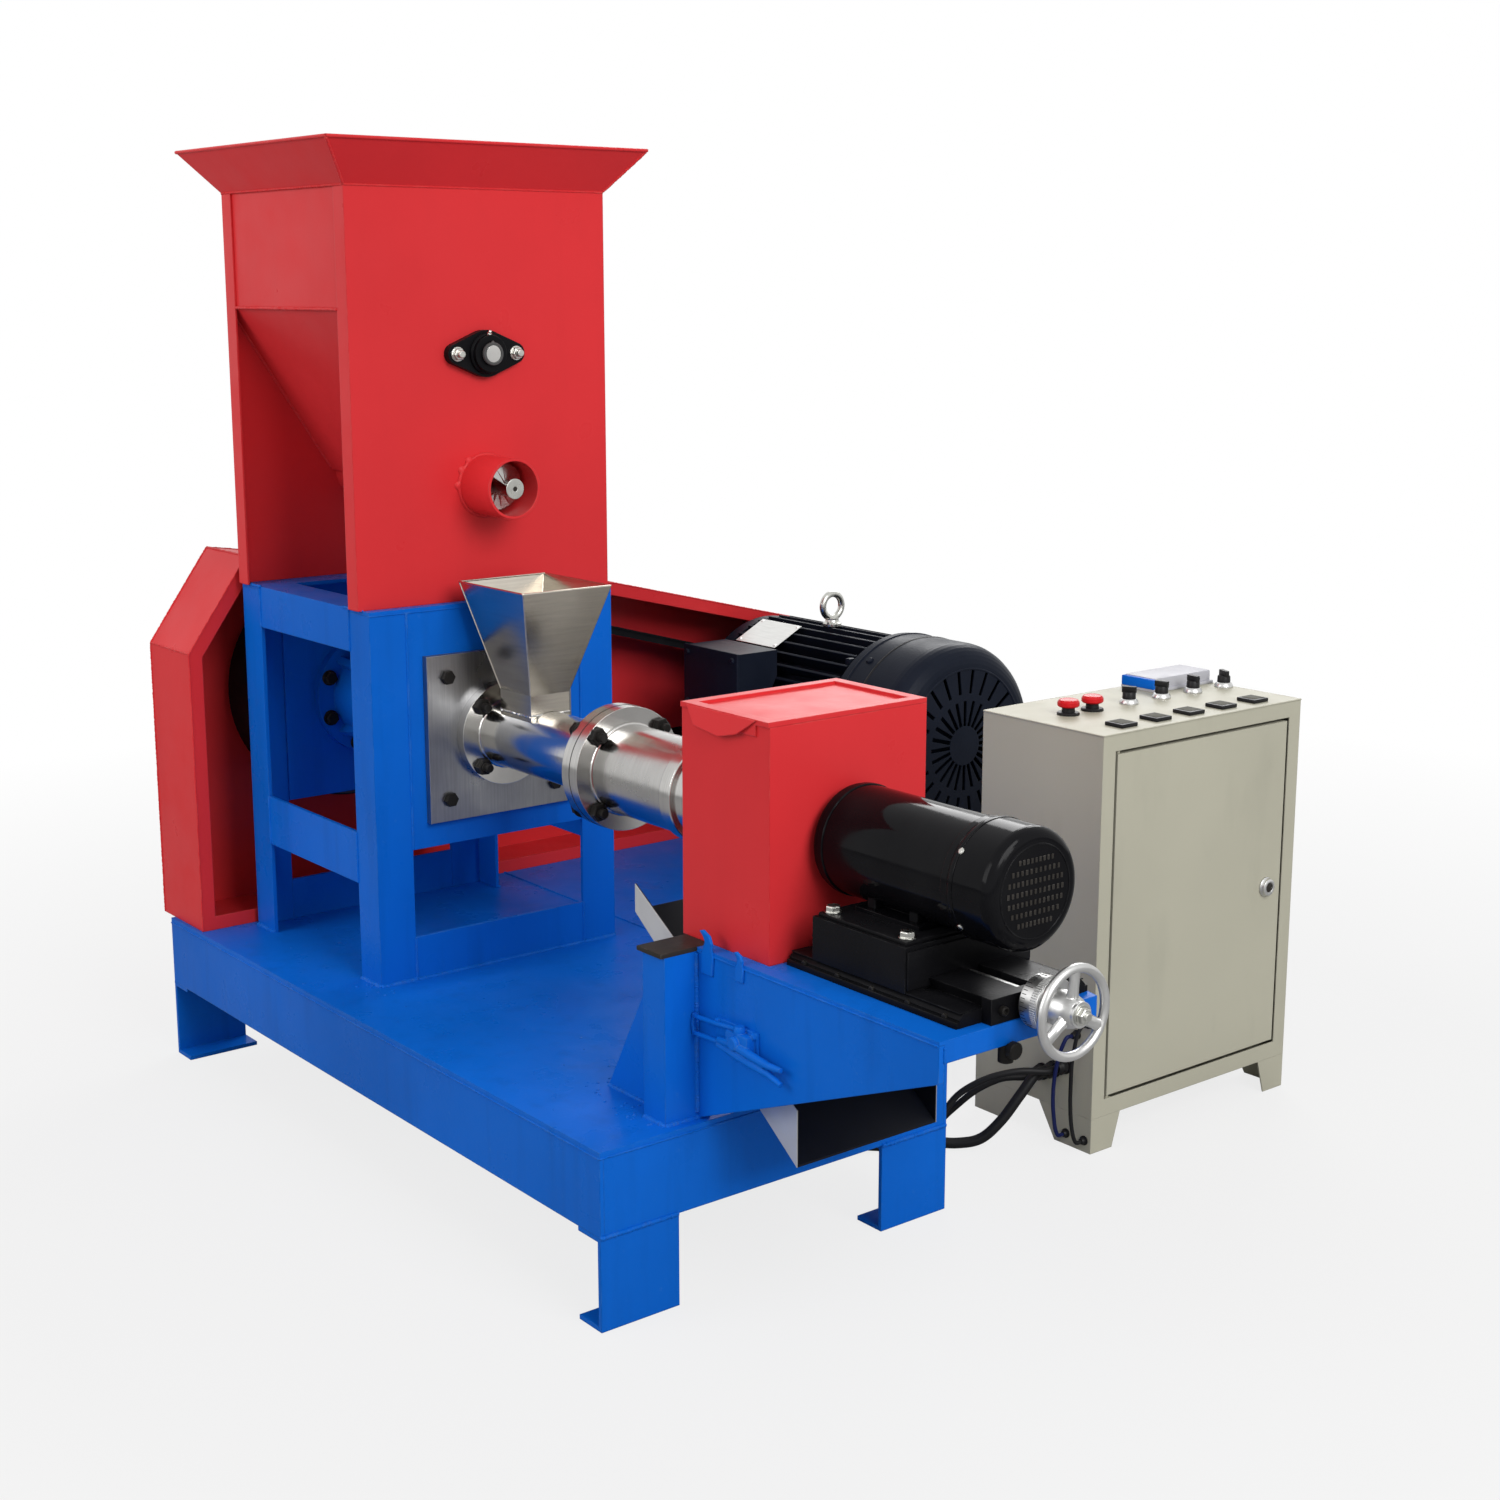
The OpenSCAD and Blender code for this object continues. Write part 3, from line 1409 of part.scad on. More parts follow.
// Lid with a folded frame, a recessed panel and a bent lip over the near side
module cutter_guard_lid() {
    half = box_w / 2 + box_t;
    z = table_z + box_h;
    lip_h = 14;
    lip_notch = 24;
    color("crimson") placed() {
        difference() {
            block([box_x0, -half, z], [box_x1, half - box_t, z + box_t + lid_recess]);
            block(
                [box_x0 + lid_frame_w, -half + lid_frame_w, z + box_t],
                [box_x1 - lid_frame_w, half - box_t - lid_frame_w, z + box_t + lid_recess + cut]
            );
        }
        block([box_x0 + lip_notch, -half, z - lip_h], [box_x1 - lip_notch, -half + box_t, z]);
    }
}

// Slide base with a dovetail along its top and a slot for the lead screw
module slide_base() {
    half = slide_w / 2;
    slot = lead_r + 4;
    bevel = 6;
    color("black") placed() {
        difference() {
            prism_x(slide_x0, slide_x1)
                polygon([
                    [-half, table_z], [half, table_z], [half, gib_z - bevel], [half - bevel, gib_z],
                    [dovetail_half - dovetail_cut, gib_z], [dovetail_half, slide_z], [-dovetail_half, slide_z],
                    [dovetail_cut - dovetail_half, gib_z], [bevel - half, gib_z], [-half, gib_z - bevel]
                ]);
            block([slide_x0 - cut, -slot, lead_z - slot], [slide_x1 + cut, slot, slide_z + cut]);
        }
        difference() {
            block([slide_x1, -dovetail_half, table_z], [slide_x1 + end_block_t, dovetail_half, slide_z]);
            round_x(slide_x1 - cut, slide_x1 + end_block_t + cut, lead_r + running_gap, 0, lead_z);
        }
    }
}

module carriage() {
    half = slide_w / 2;
    clear = slide_clear;
    nut_half = lead_r + 3;
    nut_l = 40;
    nut_x0 = carriage_x0 + (carriage_length - nut_l) / 2;
    color("black") placed()
        difference() {
            union() {
                prism_x(carriage_x0, carriage_x0 + carriage_length)
                    polygon([
                        [-half, gib_z + clear], [-half, carriage_top], [half, carriage_top], [half, gib_z + clear],
                        [dovetail_half - dovetail_cut + clear, gib_z + clear], [dovetail_half + clear, slide_z + clear],
                        [-dovetail_half - clear, slide_z + clear], [dovetail_cut - dovetail_half - clear, gib_z + clear]
                    ]);
                block([nut_x0, -nut_half, lead_z - nut_half], [nut_x0 + nut_l, nut_half, slide_z + clear]);
            }
            round_x(nut_x0 - cut, nut_x0 + nut_l + cut, lead_r + running_gap, 0, lead_z);
        }
}

module cutter_motor() {
    edge = 8;
    cap_edge = 14;
    foot_half = 56;
    foot_t = 10;
    foot_l = 110;
    foot_x0 = carriage_x0 + (carriage_length - foot_l) / 2;
    color("black") placed() {
        revolve_x(cutter_x0, 0, screw_z)
            polygon(concat(
                [[0, -nose_length], [nose_r, -nose_length], [nose_r, 0]],
                arc([cutter_r - edge, edge], edge, -90, 0),
                [[cutter_r, cutter_length], [cap_r, cutter_length]],
                arc([cap_r - cap_edge, cutter_length + cap_length - cap_edge], cap_edge, 0, 90),
                [[0, cutter_length + cap_length]]
            ));
        block([foot_x0, -foot_half, carriage_top], [foot_x0 + foot_l, foot_half, carriage_top + foot_t]);
    }
}

module knife_hub() {
    hub_r = 24;
    hub_l = 30;
    shaft_r = 11;
    knife_w = 22;
    x0 = die_x1 + knife_gap;
    color("silver") placed() {
        round_x(x0, x0 + hub_l, hub_r);
        round_x(x0 + hub_l, cutter_x0 - nose_length, shaft_r);
        translate([0, 0, screw_z])
            for (i = [0 : knife_count - 1])
                rotate([360 * i / knife_count, 0, 0])
                    block([x0, -knife_w / 2, 0], [x0 + knife_t, knife_w / 2, knife_reach]);
    }
}

// Handwheel with its dial and the lead screw
module handwheel() {
    spoke_r = 4.5;
    lead_x0 = slide_x0 + slide_clear;
    color("silver") placed() {
        round_x(lead_x0, wheel_hub_x1, lead_r, 0, lead_z);
        round_x(dial_x0, dial_x0 + dial_length, dial_r, 0, lead_z);
        round_x(wheel_hub_x0, wheel_hub_x1, wheel_hub_r, 0, lead_z);
        translate([wheel_x, 0, lead_z]) {
            rotate([0, 90, 0]) rotate_extrude() translate([wheel_r, 0]) circle(r = wheel_rim_r);
            for (turn = [0, 120, 240])
                rotate([turn, 0, 0]) cylinder(h = wheel_r, r = spoke_r);
        }
    }
}

// Sheet cabinet with a framed front opening and the door's hinge pins
module cabinet_shell() {
    t = cabinet_t;
    pin_h = door_gap - running_gap;
    ear = 2 * hinge_inset;
    color("beige") placed() {
        difference() {
            block([cab_x0, cab_y0, cab_z0], [cab_x1, cab_y1, cab_z1]);
            block([cab_x0 + t, cab_y0 + t, cab_z0 + t], [cab_x1 - t, cab_y1 - t, cab_z1 - t]);
            block(
                [cab_x1 - 2 * t, cab_y0 + door_frame_w, cab_z0 + door_frame_w],
                [cab_x1 + cut, cab_y1 - door_frame_w, cab_z1 - door_frame_w]
            );
        }
        for (z = [cab_z0 + door_frame_w - t, cab_z1 - door_frame_w])
            block([cab_x1 - ear, door_y0, z], [cab_x1, door_y0 + ear, z + t]);
        for (z = [cab_z0 + door_frame_w, door_z1 + running_gap])
            translate([cab_x1 - hinge_inset, door_y0 + hinge_inset, z]) cylinder(h = pin_h, r = hinge_pin_r);
    }
}

// Corner foot of bent sheet; x and y point outwards from its corner
module corner_foot() {
    front_top = 62;
    front_tip = 46;
    side_top = 105;
    side_tip = 72;
    difference() {
        intersection() {
            prism_x(-side_top, 0)
                polygon([[0, 0], [0, cab_z0], [-front_top, cab_z0], [-front_tip, 0]]);
            prism_y(-front_top, 0)
                polygon([[0, 0], [0, cab_z0], [-side_top, cab_z0], [-side_tip, 0]]);
        }
        block([-side_top - cut, -front_top - cut, -cut], [-cabinet_t, -cabinet_t, cab_z0 - cabinet_t]);
    }
}

module cabinet_feet() {
    middle = [(cab_x0 + cab_x1) / 2, (cab_y0 + cab_y1) / 2, 0];
    color("beige") placed()
        translate(middle)
            for (i = [0, 1], k = [0, 1])
                mirror([i, 0, 0]) mirror([0, k, 0])
                    translate([cabinet_depth / 2, cabinet_w / 2, 0]) corner_foot();
}

module cabinet_door() {
    lock_reach = 7;
    lock_setback = 34;
    lock_z = (door_z0 + door_z1) / 2;
    color("beige") placed() {
        difference() {
            block([cab_x1 - door_t, door_y0, door_z0], [cab_x1, door_y1, door_z1]);
            block(
                [cab_x1 - door_t - cut, door_y0 + door_t, door_z0 + door_t],
                [cab_x1 - cabinet_t, door_y1 - door_t, door_z1 - door_t]
            );
        }
        round_x(cab_x1, cab_x1 + lock_reach, lock_r, door_y1 - lock_setback, lock_z);
    }
}

// Operating devices on the cabinet's top: stop buttons, selectors and plates
module cabinet_controls() {
    z = cab_z1;
    row_share = 0.425;
    plate_share = 0.86;
    gap_count = 6;
    row_x = cab_x0 + row_share * cabinet_depth;
    plate_x = cab_x0 + plate_share * cabinet_depth;
    pitch = cabinet_w / gap_count;
    first_y = cab_y0 + pitch;
    button_r = 15;
    stem_r = 9;
    stem_h = 12;
    cap_h = 12;
    knob_r = 11;
    knob_h = 20;
    plate = 34;
    plate_h = 6;
    color("dimgray") placed() {
        for (i = [0, 1])
            translate([row_x, first_y + i * pitch * 0.7, z]) {
                cylinder(h = stem_h, r = stem_r);
                translate([0, 0, stem_h]) cylinder(h = cap_h, r = button_r);
            }
        for (i = [2 : 5])
            translate([row_x, first_y + (i - 0.2) * pitch, z]) {
                cylinder(h = plate_h, r = knob_r + 3);
                translate([-knob_r, -knob_r / 3, plate_h]) cube([2 * knob_r, 2 * knob_r / 3, knob_h]);
            }
        for (i = [0 : 4])
            translate([plate_x - plate / 2, first_y + i * pitch - plate / 2, z]) cube([plate, plate, plate_h]);
    }
}

// Gland from a cable's end to the cabinet's near side
module wall_gland(tip, d) {
    wall = cab_y0 - centre_y;
    translate(tip + [0, running_gap, 0]) rotate([-90, 0, 0]) cylinder(h = wall - tip[1] - running_gap, d = d);
}

// Glands: on the cabinet's side, in its near foot and under the deck
module cable_glands() {
    under_deck = channel_z1;
    grip = 4;
    color("black") {
        for (r = [power_route, cutter_route, feeder_route], d = [power_d + grip])
            let (tip = r[len(r) - 1]) {
                wall_gland(r[0], d);
                translate(tip + [0, 0, running_gap]) cylinder(h = under_deck - tip[2] - running_gap, d = d);
            }
        for (r = [black_lead_route, blue_lead_route], tip = [r[0], r[len(r) - 1]])
            wall_gland(tip, thin_d + grip);
    }
}

module power_cable() { color("black") cable(power_route, power_d); }

module cutter_cable() { color("black") cable(cutter_route, signal_d); }

module feeder_cable() { color("black") cable(feeder_route, signal_d); }

module black_lead() { color("black") cable(black_lead_route, thin_d); }

module blue_lead() { color("navy") cable(blue_lead_route, thin_d); }

deck_plate();
platform_plate();
side_channels();
end_channels();
base_feet();
motor_rails();
pedestal_posts();
pedestal_side_rails();
pedestal_end_rails();
pedestal_plates();
spindle_housing();
main_spindle();
large_pulley();
motor_pulley();
drive_belts();
belt_guard();
motor_body();
motor_end_shields();
motor_fan_cowl();
motor_terminal_box();
motor_lifting_eye();
hopper_front_plate();
hopper_rear_plate();
hopper_side_walls();
hopper_slopes();
hopper_rim();
feed_tube();
feed_screw();
agitator();
agitator_bearing();
feeder_chain_cover();
feeder_gearmotor();
barrel_plate();
barrel_inlet();
barrel_outlet();
die_head();
feed_funnel();
arm_posts();
arm_plates();
arm_table();
arm_latch();
chute();
cutter_guard();
cutter_guard_lid();
slide_base();
carriage();
cutter_motor();
knife_hub();
handwheel();
cabinet_shell();
cabinet_feet();
cabinet_door();
cabinet_controls();
cable_glands();
power_cable();
cutter_cable();
feeder_cable();
black_lead();
blue_lead();
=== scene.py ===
"""Looks of a fish feed extruder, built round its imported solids."""

import json
import random
from math import cos, pi, sin, sqrt

import bmesh
import bpy
from mathutils import Matrix, Vector


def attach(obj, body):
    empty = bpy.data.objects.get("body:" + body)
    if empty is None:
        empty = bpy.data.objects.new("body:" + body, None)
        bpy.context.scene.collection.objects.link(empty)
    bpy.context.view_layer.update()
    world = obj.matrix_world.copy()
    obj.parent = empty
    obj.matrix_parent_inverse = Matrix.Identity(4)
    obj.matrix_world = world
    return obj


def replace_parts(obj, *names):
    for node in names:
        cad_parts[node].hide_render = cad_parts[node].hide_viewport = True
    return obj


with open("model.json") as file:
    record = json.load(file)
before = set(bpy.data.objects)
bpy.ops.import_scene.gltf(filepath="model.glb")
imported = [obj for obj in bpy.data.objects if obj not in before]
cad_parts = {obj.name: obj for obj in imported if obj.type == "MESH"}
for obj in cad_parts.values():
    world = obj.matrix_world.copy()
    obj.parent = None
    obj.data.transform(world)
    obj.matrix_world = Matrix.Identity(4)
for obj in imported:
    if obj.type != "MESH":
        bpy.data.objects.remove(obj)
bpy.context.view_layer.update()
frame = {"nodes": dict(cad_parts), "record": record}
nodes = frame["nodes"]
chance = random.Random(7).uniform

# Lengths below are millimetres from the pedestal's front face, the screw's plane and the floor
MM = 0.001
DATUM_X = 308.5
DATUM_Y = 359.0
SCREW_Z = 596.0
X_AXIS = Vector((1, 0, 0))
Y_AXIS = Vector((0, 1, 0))
Z_AXIS = Vector((0, 0, 1))


def at(x, y, z):
    """Point of the part's frame from millimetres off the datum."""
    return Vector(((x - DATUM_X) * MM, (y - DATUM_Y) * MM, z * MM))


def add_object(name, data):
    """Object of the data, in the scene."""
    made = bpy.data.objects.new(name, data)
    bpy.context.scene.collection.objects.link(made)
    return made


def turns(count, first=0.0):
    """Angles that share a whole turn evenly."""
    return [first + 2 * pi * k / count for k in range(count)]


def spoke(turn):
    """Unit vector square to X at an angle."""
    return Vector((0, cos(turn), sin(turn)))


def ring_places(x, y, z, radius, count, first=0.0):
    """Places on a circle that faces along X."""
    return [at(x, y + radius * cos(t), z + radius * sin(t)) for t in turns(count, first)]


def around(corners):
    """Pairs of neighbours, right round."""
    return zip(corners, corners[1:] + corners[:1])


def rectangle(x0, x1, y0, y1, z):
    """Corners of a level rectangle, going round."""
    return [at(x0, y0, z), at(x1, y0, z), at(x1, y1, z), at(x0, y1, z)]


# Camera of the photograph
CAMERA_AT = Vector((2.3763, -2.0101, 1.2498))
CAMERA_RIGHT = Vector((0.6224, 0.7827, 0.0))
CAMERA_AHEAD = Vector((-0.7676, 0.6104, -0.1953))
CAMERA_LENS = 50.97
CAMERA_SENSOR = 36.0
CAMERA_SHIFT = (0.0005, -0.0271)


def add_camera():
    """Camera at the photograph's place, turned as it was."""
    data = bpy.data.cameras.new("camera")
    data.sensor_width = CAMERA_SENSOR
    data.lens = CAMERA_LENS
    data.shift_x, data.shift_y = CAMERA_SHIFT
    camera = add_object("camera", data)
    ahead = CAMERA_AHEAD.normalized()
    right = (CAMERA_RIGHT - ahead * CAMERA_RIGHT.dot(ahead)).normalized()
    turn = Matrix((right, right.cross(ahead), -ahead)).transposed()
    camera.matrix_world = Matrix.Translation(CAMERA_AT) @ turn.to_4x4()
    bpy.context.scene.camera = camera


add_camera()


# Materials
class Nodes:
    """A node tree, with short ways to add and join nodes."""

    def __init__(self, tree):
        self.tree = tree

    def node(self, kind, inputs=None, **settings):
        made = self.tree.nodes.new(kind)
        for key, value in (inputs or {}).items():
            made.inputs[key].default_value = value
        for key, value in settings.items():
            setattr(made, key, value)
        return made

    def join(self, output, socket):
        self.tree.links.new(output, socket)

    def math(self, operation, a, b):
        made = self.node("ShaderNodeMath", operation=operation)
        self.join(a, made.inputs[0])
        self.join(b, made.inputs[1])
        return made.outputs["Value"]

    def blend(self, share, first, second, target):
        """Two shaders in a share, sent to the tree's output node."""
        made = self.node("ShaderNodeMixShader")
        self.join(share, made.inputs["Fac"])
        self.join(first, made.inputs[1])
        self.join(second, made.inputs[2])
        self.join(made.outputs["Shader"], self.tree.nodes[target].inputs["Surface"])


class Graph(Nodes):
    """One material and its nodes."""

    def __init__(self):
        self.material = bpy.data.materials.new("look")
        self.material.use_nodes = True
        super().__init__(self.material.node_tree)
        self.shader = self.tree.nodes["Principled BSDF"]
        self.place = self.node("ShaderNodeTexCoord").outputs["Object"]

    def noise(self, scale, detail=3.0, stretch=None, offset=0.0):
        """Noise from 0 to 1; stretch is the scale along each axis."""
        made = self.node("ShaderNodeTexNoise", {"Scale": scale, "Detail": detail})
        mapping = {"Scale": stretch or (1, 1, 1), "Location": (offset, offset, offset)}
        mapped = self.node("ShaderNodeMapping", mapping)
        self.join(self.place, mapped.inputs["Vector"])
        self.join(mapped.outputs["Vector"], made.inputs["Vector"])
        return made.outputs["Fac"]

    def spread(self, value, low, high, to_low=0.0, to_high=1.0):
        """Value taken from one range to another, held inside it."""
        ends = {"From Min": low, "From Max": high, "To Min": to_low, "To Max": to_high}
        made = self.node("ShaderNodeMapRange", ends)
        self.join(value, made.inputs["Value"])
        return made.outputs["Result"]

    def times(self, a, b):
        return self.math("MULTIPLY", a, b)

    def mix(self, share, first, second):
        """Colour between two; each is a colour or another node's output."""
        made = self.node("ShaderNodeMix", data_type="RGBA")
        self.join(share, made.inputs["Factor"])
        for socket, colour in (("A", first), ("B", second)):
            target = [s for s in made.inputs if s.name == socket and s.type == "RGBA"][0]
            if isinstance(colour, tuple):
                target.default_value = (*colour, 1.0)
            else:
                self.join(colour, target)
        return [s for s in made.outputs if s.type == "RGBA"][0]

    def rounded(self, radius):
        """Normal that rounds sharp edges, and how near a point is to one."""
        bevel = self.node("ShaderNodeBevel", {"Radius": radius}, samples=4)
        facing = self.node("ShaderNodeVectorMath", operation="DOT_PRODUCT")
        self.join(bevel.outputs["Normal"], facing.inputs[0])
        self.join(self.node("ShaderNodeNewGeometry").outputs["True Normal"], facing.inputs[1])
        return bevel.outputs["Normal"], self.spread(facing.outputs["Value"], 0.995, 0.8)

    def bump(self, height, strength, distance, normal=None):
        made = self.node("ShaderNodeBump", {"Strength": strength, "Distance": distance})
        self.join(height, made.inputs["Height"])
        if normal is not None:
            self.join(normal, made.inputs["Normal"])
        self.join(made.outputs["Normal"], self.shader.inputs["Normal"])

    def set(self, **values):
        for key, value in values.items():
            self.shader.inputs[key.replace("_", " ")].default_value = value

    def colour(self, output):
        self.join(output, self.shader.inputs["Base Color"])

    def rough(self, output):
        self.join(output, self.shader.inputs["Roughness"])


def shade(colour, amount):
    """Colour made darker or lighter by a factor."""
    return tuple(min(1.0, c * amount) for c in colour)


def enamel(colour, worn, roughness=0.3, mottle=0.12, runs=0.35, peel=0.12, shine=0.13, specks=0.3):
    """Brushed and sprayed enamel: mottled, with runs, peel and lightly worn edges."""
    g = Graph()
    normal, edge = g.rounded(0.0022)
    cloud = g.spread(g.noise(2.6, 4.0), 0.3, 0.7)
    base = g.mix(cloud, shade(colour, 1 - mottle), shade(colour, 1 + mottle))
    streak = g.spread(g.noise(1.0, 4.0, (34, 34, 3.2), 4.0), 0.52, 0.74, 0.0, runs)
    base = g.mix(streak, base, shade(colour, 0.72))
    speck = g.spread(g.noise(85.0, 6.0, offset=9.0), 0.68, 0.8, 0.0, specks)
    base = g.mix(speck, base, worn)
    wear = g.times(edge, g.spread(g.noise(38.0, 6.0, offset=2.0), 0.46, 0.66, 0.0, 0.85))
    g.colour(g.mix(wear, base, worn))
    g.rough(g.spread(g.noise(13.0, 6.0, offset=5.0), 0.3, 0.75, roughness - 0.07, roughness + 0.14))
    g.bump(g.noise(150.0, 3.0), peel, 0.0012, normal)
    g.set(Specular_IOR_Level=shine)
    return g.material


def steel(colour, low, high, stretch, dull=0.72, scratch=0.08):
    """Bare metal with brushing along one way, hazy patches and a painted highlight on its edges."""
    g = Graph()
    normal, edge = g.rounded(0.0012)
    grain = g.noise(1.0, 4.0, stretch)
    haze = g.spread(g.noise(9.0, 5.0, offset=3.0), 0.35, 0.72)
    base = g.mix(haze, colour, shade(colour, dull))
    lines = g.spread(grain, 0.35, 0.7, 0.0, 0.4)
    base = g.mix(lines, base, shade(colour, dull * 0.8))
    # Edges are made 15 % lighter: a painted highlight along every edge.
    g.colour(g.mix(edge, base, shade(colour, 1.15)))
    g.rough(g.spread(haze, 0.0, 1.0, low, high))
    g.bump(grain, scratch, 0.0006, normal)
    g.set(Metallic=1.0)
    return g.material


def casting(colour, roughness, grain=240.0, depth=0.25, shine=0.06, worn=(0.16, 0.16, 0.16)):
    """Painted or moulded dark surface with a fine grain, dust and rubbed edges."""
    g = Graph()
    normal, edge = g.rounded(0.0014)
    dust = g.spread(g.noise(11.0, 6.0, offset=1.0), 0.42, 0.8, 0.0, 0.28)
    base = g.mix(dust, colour, tuple(c * 1.6 + 0.012 for c in colour))
    rub = g.times(edge, g.spread(g.noise(44.0, 5.0), 0.45, 0.7, 0.0, 0.7))
    g.colour(g.mix(rub, base, worn))
    g.rough(g.spread(g.noise(16.0, 5.0, offset=6.0), 0.3, 0.75, roughness - 0.06, roughness + 0.12))
    g.bump(g.noise(grain, 3.0), depth, 0.0008, normal)
    g.set(Specular_IOR_Level=shine)
    return g.material


def powder(colour, worn):
    """Powder coat with a fine hammered grain."""
    g = Graph()
    normal, edge = g.rounded(0.0016)
    cloud = g.spread(g.noise(3.0, 3.0), 0.3, 0.7)
    base = g.mix(cloud, shade(colour, 0.95), shade(colour, 1.05))
    soil = g.spread(g.noise(1.0, 5.0, (16, 16, 5), 2.0), 0.56, 0.8, 0.0, 0.3)
    base = g.mix(soil, base, shade(colour, 0.72))
    wear = g.times(edge, g.spread(g.noise(50.0, 5.0), 0.5, 0.7, 0.0, 0.5))
    g.colour(g.mix(wear, base, worn))
    g.rough(g.spread(g.noise(20.0, 4.0, offset=3.0), 0.3, 0.7, 0.4, 0.52))
    g.bump(g.noise(620.0, 2.0), 0.16, 0.0005, normal)
    g.set(Specular_IOR_Level=0.25)
    return g.material


def moulded(colour, roughness, shine=0.2):
    """Moulded plastic or rubber with a faint grain and dust."""
    g = Graph()
    dust = g.spread(g.noise(24.0, 6.0), 0.42, 0.8, 0.0, 0.3)
    g.colour(g.mix(dust, colour, tuple(c * 1.4 + 0.01 for c in colour)))
    g.rough(g.spread(g.noise(30.0, 4.0, offset=2.0), 0.3, 0.7, roughness - 0.06, roughness + 0.08))
    g.bump(g.noise(700.0, 2.0), 0.12, 0.0004)
    g.set(Specular_IOR_Level=shine)
    return g.material


def chute_sheet(pale, painted_shade, half_width):
    """Dull sheet whose inner faces are painted near-black as painted shade, and are less metallic there."""
    g = Graph()
    normal = g.rounded(0.0008)[0]
    spot = g.node("ShaderNodeNewGeometry")
    place = g.node("ShaderNodeSeparateXYZ")
    g.join(spot.outputs["Position"], place.inputs[0])
    offset = g.node("ShaderNodeMath", {1: at(0, 0, 0).y}, operation="SUBTRACT")
    g.join(place.outputs["Y"], offset.inputs[0])
    aside = g.node("ShaderNodeMath", operation="ABSOLUTE")
    g.join(offset.outputs["Value"], aside.inputs[0])
    within = g.spread(aside.outputs["Value"], half_width - 0.5 * MM, half_width - 1.5 * MM)
    facing = g.node("ShaderNodeSeparateXYZ")
    g.join(spot.outputs["True Normal"], facing.inputs[0])
    inner = g.times(within, g.spread(facing.outputs["Z"], -0.3, -0.1))
    haze = g.spread(g.noise(14.0, 5.0), 0.35, 0.7)
    # The inner faces get the painted shade colour in place of the pale sheet; they are also made less
    # metallic.
    g.colour(g.mix(inner, g.mix(haze, pale, shade(pale, 0.8)), painted_shade))
    g.rough(g.spread(haze, 0.0, 1.0, 0.42, 0.56))
    g.bump(g.noise(90.0, 4.0), 0.05, 0.0006, normal)
    g.join(g.spread(inner, 0.0, 1.0, 0.5, 0.0), g.shader.inputs["Metallic"])
    g.set(Specular_IOR_Level=0.15)
    return g.material


BLUE = (0.003, 0.122, 0.570)
RED = (0.665, 0.031, 0.036)
BEIGE = (0.450, 0.436, 0.346)
CHUTE_HALF = 115.0
looks = {
    "blue_paint": enamel(BLUE, (0.05, 0.19, 0.56), shine=0.07),
    "red_paint": enamel(RED, (0.70, 0.10, 0.09), 0.34, mottle=0.06, runs=0.06, peel=0.07, specks=0.1),
    "stainless": steel((0.60, 0.59, 0.57), 0.14, 0.30, (420, 5, 5)),
    "cast_iron": casting((0.08, 0.08, 0.08), 0.45, worn=(0.35, 0.35, 0.34)),
    "belt_rubber": moulded((0.006, 0.006, 0.007), 0.66, shine=0.08),
    "motor_paint": casting((0.009, 0.012, 0.021), 0.34, worn=(0.05, 0.06, 0.09)),
    "zinc_steel": steel((0.62, 0.62, 0.58), 0.22, 0.38, (60, 60, 60)),
    "grey_paint": enamel((0.23, 0.25, 0.28), (0.36, 0.37, 0.38), roughness=0.38),
    "black_casting": casting((0.005, 0.005, 0.006), 0.30, worn=(0.08, 0.08, 0.08)),
    "black_gloss": casting((0.003, 0.003, 0.004), 0.10, 120.0, 0.05, shine=0.08, worn=(0.06, 0.06, 0.06)),
    "chrome": steel((0.66, 0.66, 0.65), 0.27, 0.38, (40, 40, 40), dull=0.86, scratch=0.02),
    "beige_paint": powder(BEIGE, (0.56, 0.55, 0.48)),
    "black_plastic": moulded((0.010, 0.010, 0.011), 0.42),
    "black_cable": moulded((0.008, 0.008, 0.009), 0.46),
    "blue_cable": moulded((0.008, 0.014, 0.085), 0.44),
    "black_bolt": casting((0.014, 0.013, 0.012), 0.32, worn=(0.20, 0.19, 0.18)),
    "red_button": moulded((0.56, 0.010, 0.014), 0.30),
    "plate_face": moulded((0.085, 0.083, 0.066), 0.60, shine=0.08),
    "pale_plastic": moulded((0.47, 0.47, 0.51), 0.45),
    "dark_plate": casting((0.030, 0.027, 0.024), 0.40, worn=(0.2, 0.19, 0.18)),
    "blank_plate": steel((0.80, 0.80, 0.78), 0.30, 0.45, (30, 300, 30), dull=0.92),
    "stainless_sheet": steel((0.64, 0.59, 0.51), 0.16, 0.30, (9, 9, 260), dull=0.80),
    "machined_plate": steel((0.36, 0.365, 0.38), 0.26, 0.46, (14, 300, 14), dull=0.70),
    # The chute's second colour is painted shade for its inside.
    "chute_sheet": chute_sheet((0.58, 0.58, 0.57), (0.004, 0.005, 0.009), CHUTE_HALF * MM),
}
for name, material in looks.items():
    material.name = name
OWN_LOOKS = {"feed_funnel": "stainless_sheet", "chute": "chute_sheet", "barrel_plate": "machined_plate"}
for row in frame["record"]["subparts"]:
    materials = nodes[row["node"]].data.materials
    materials.clear()
    materials.append(looks[OWN_LOOKS.get(row["node"], row["material_slot"])])


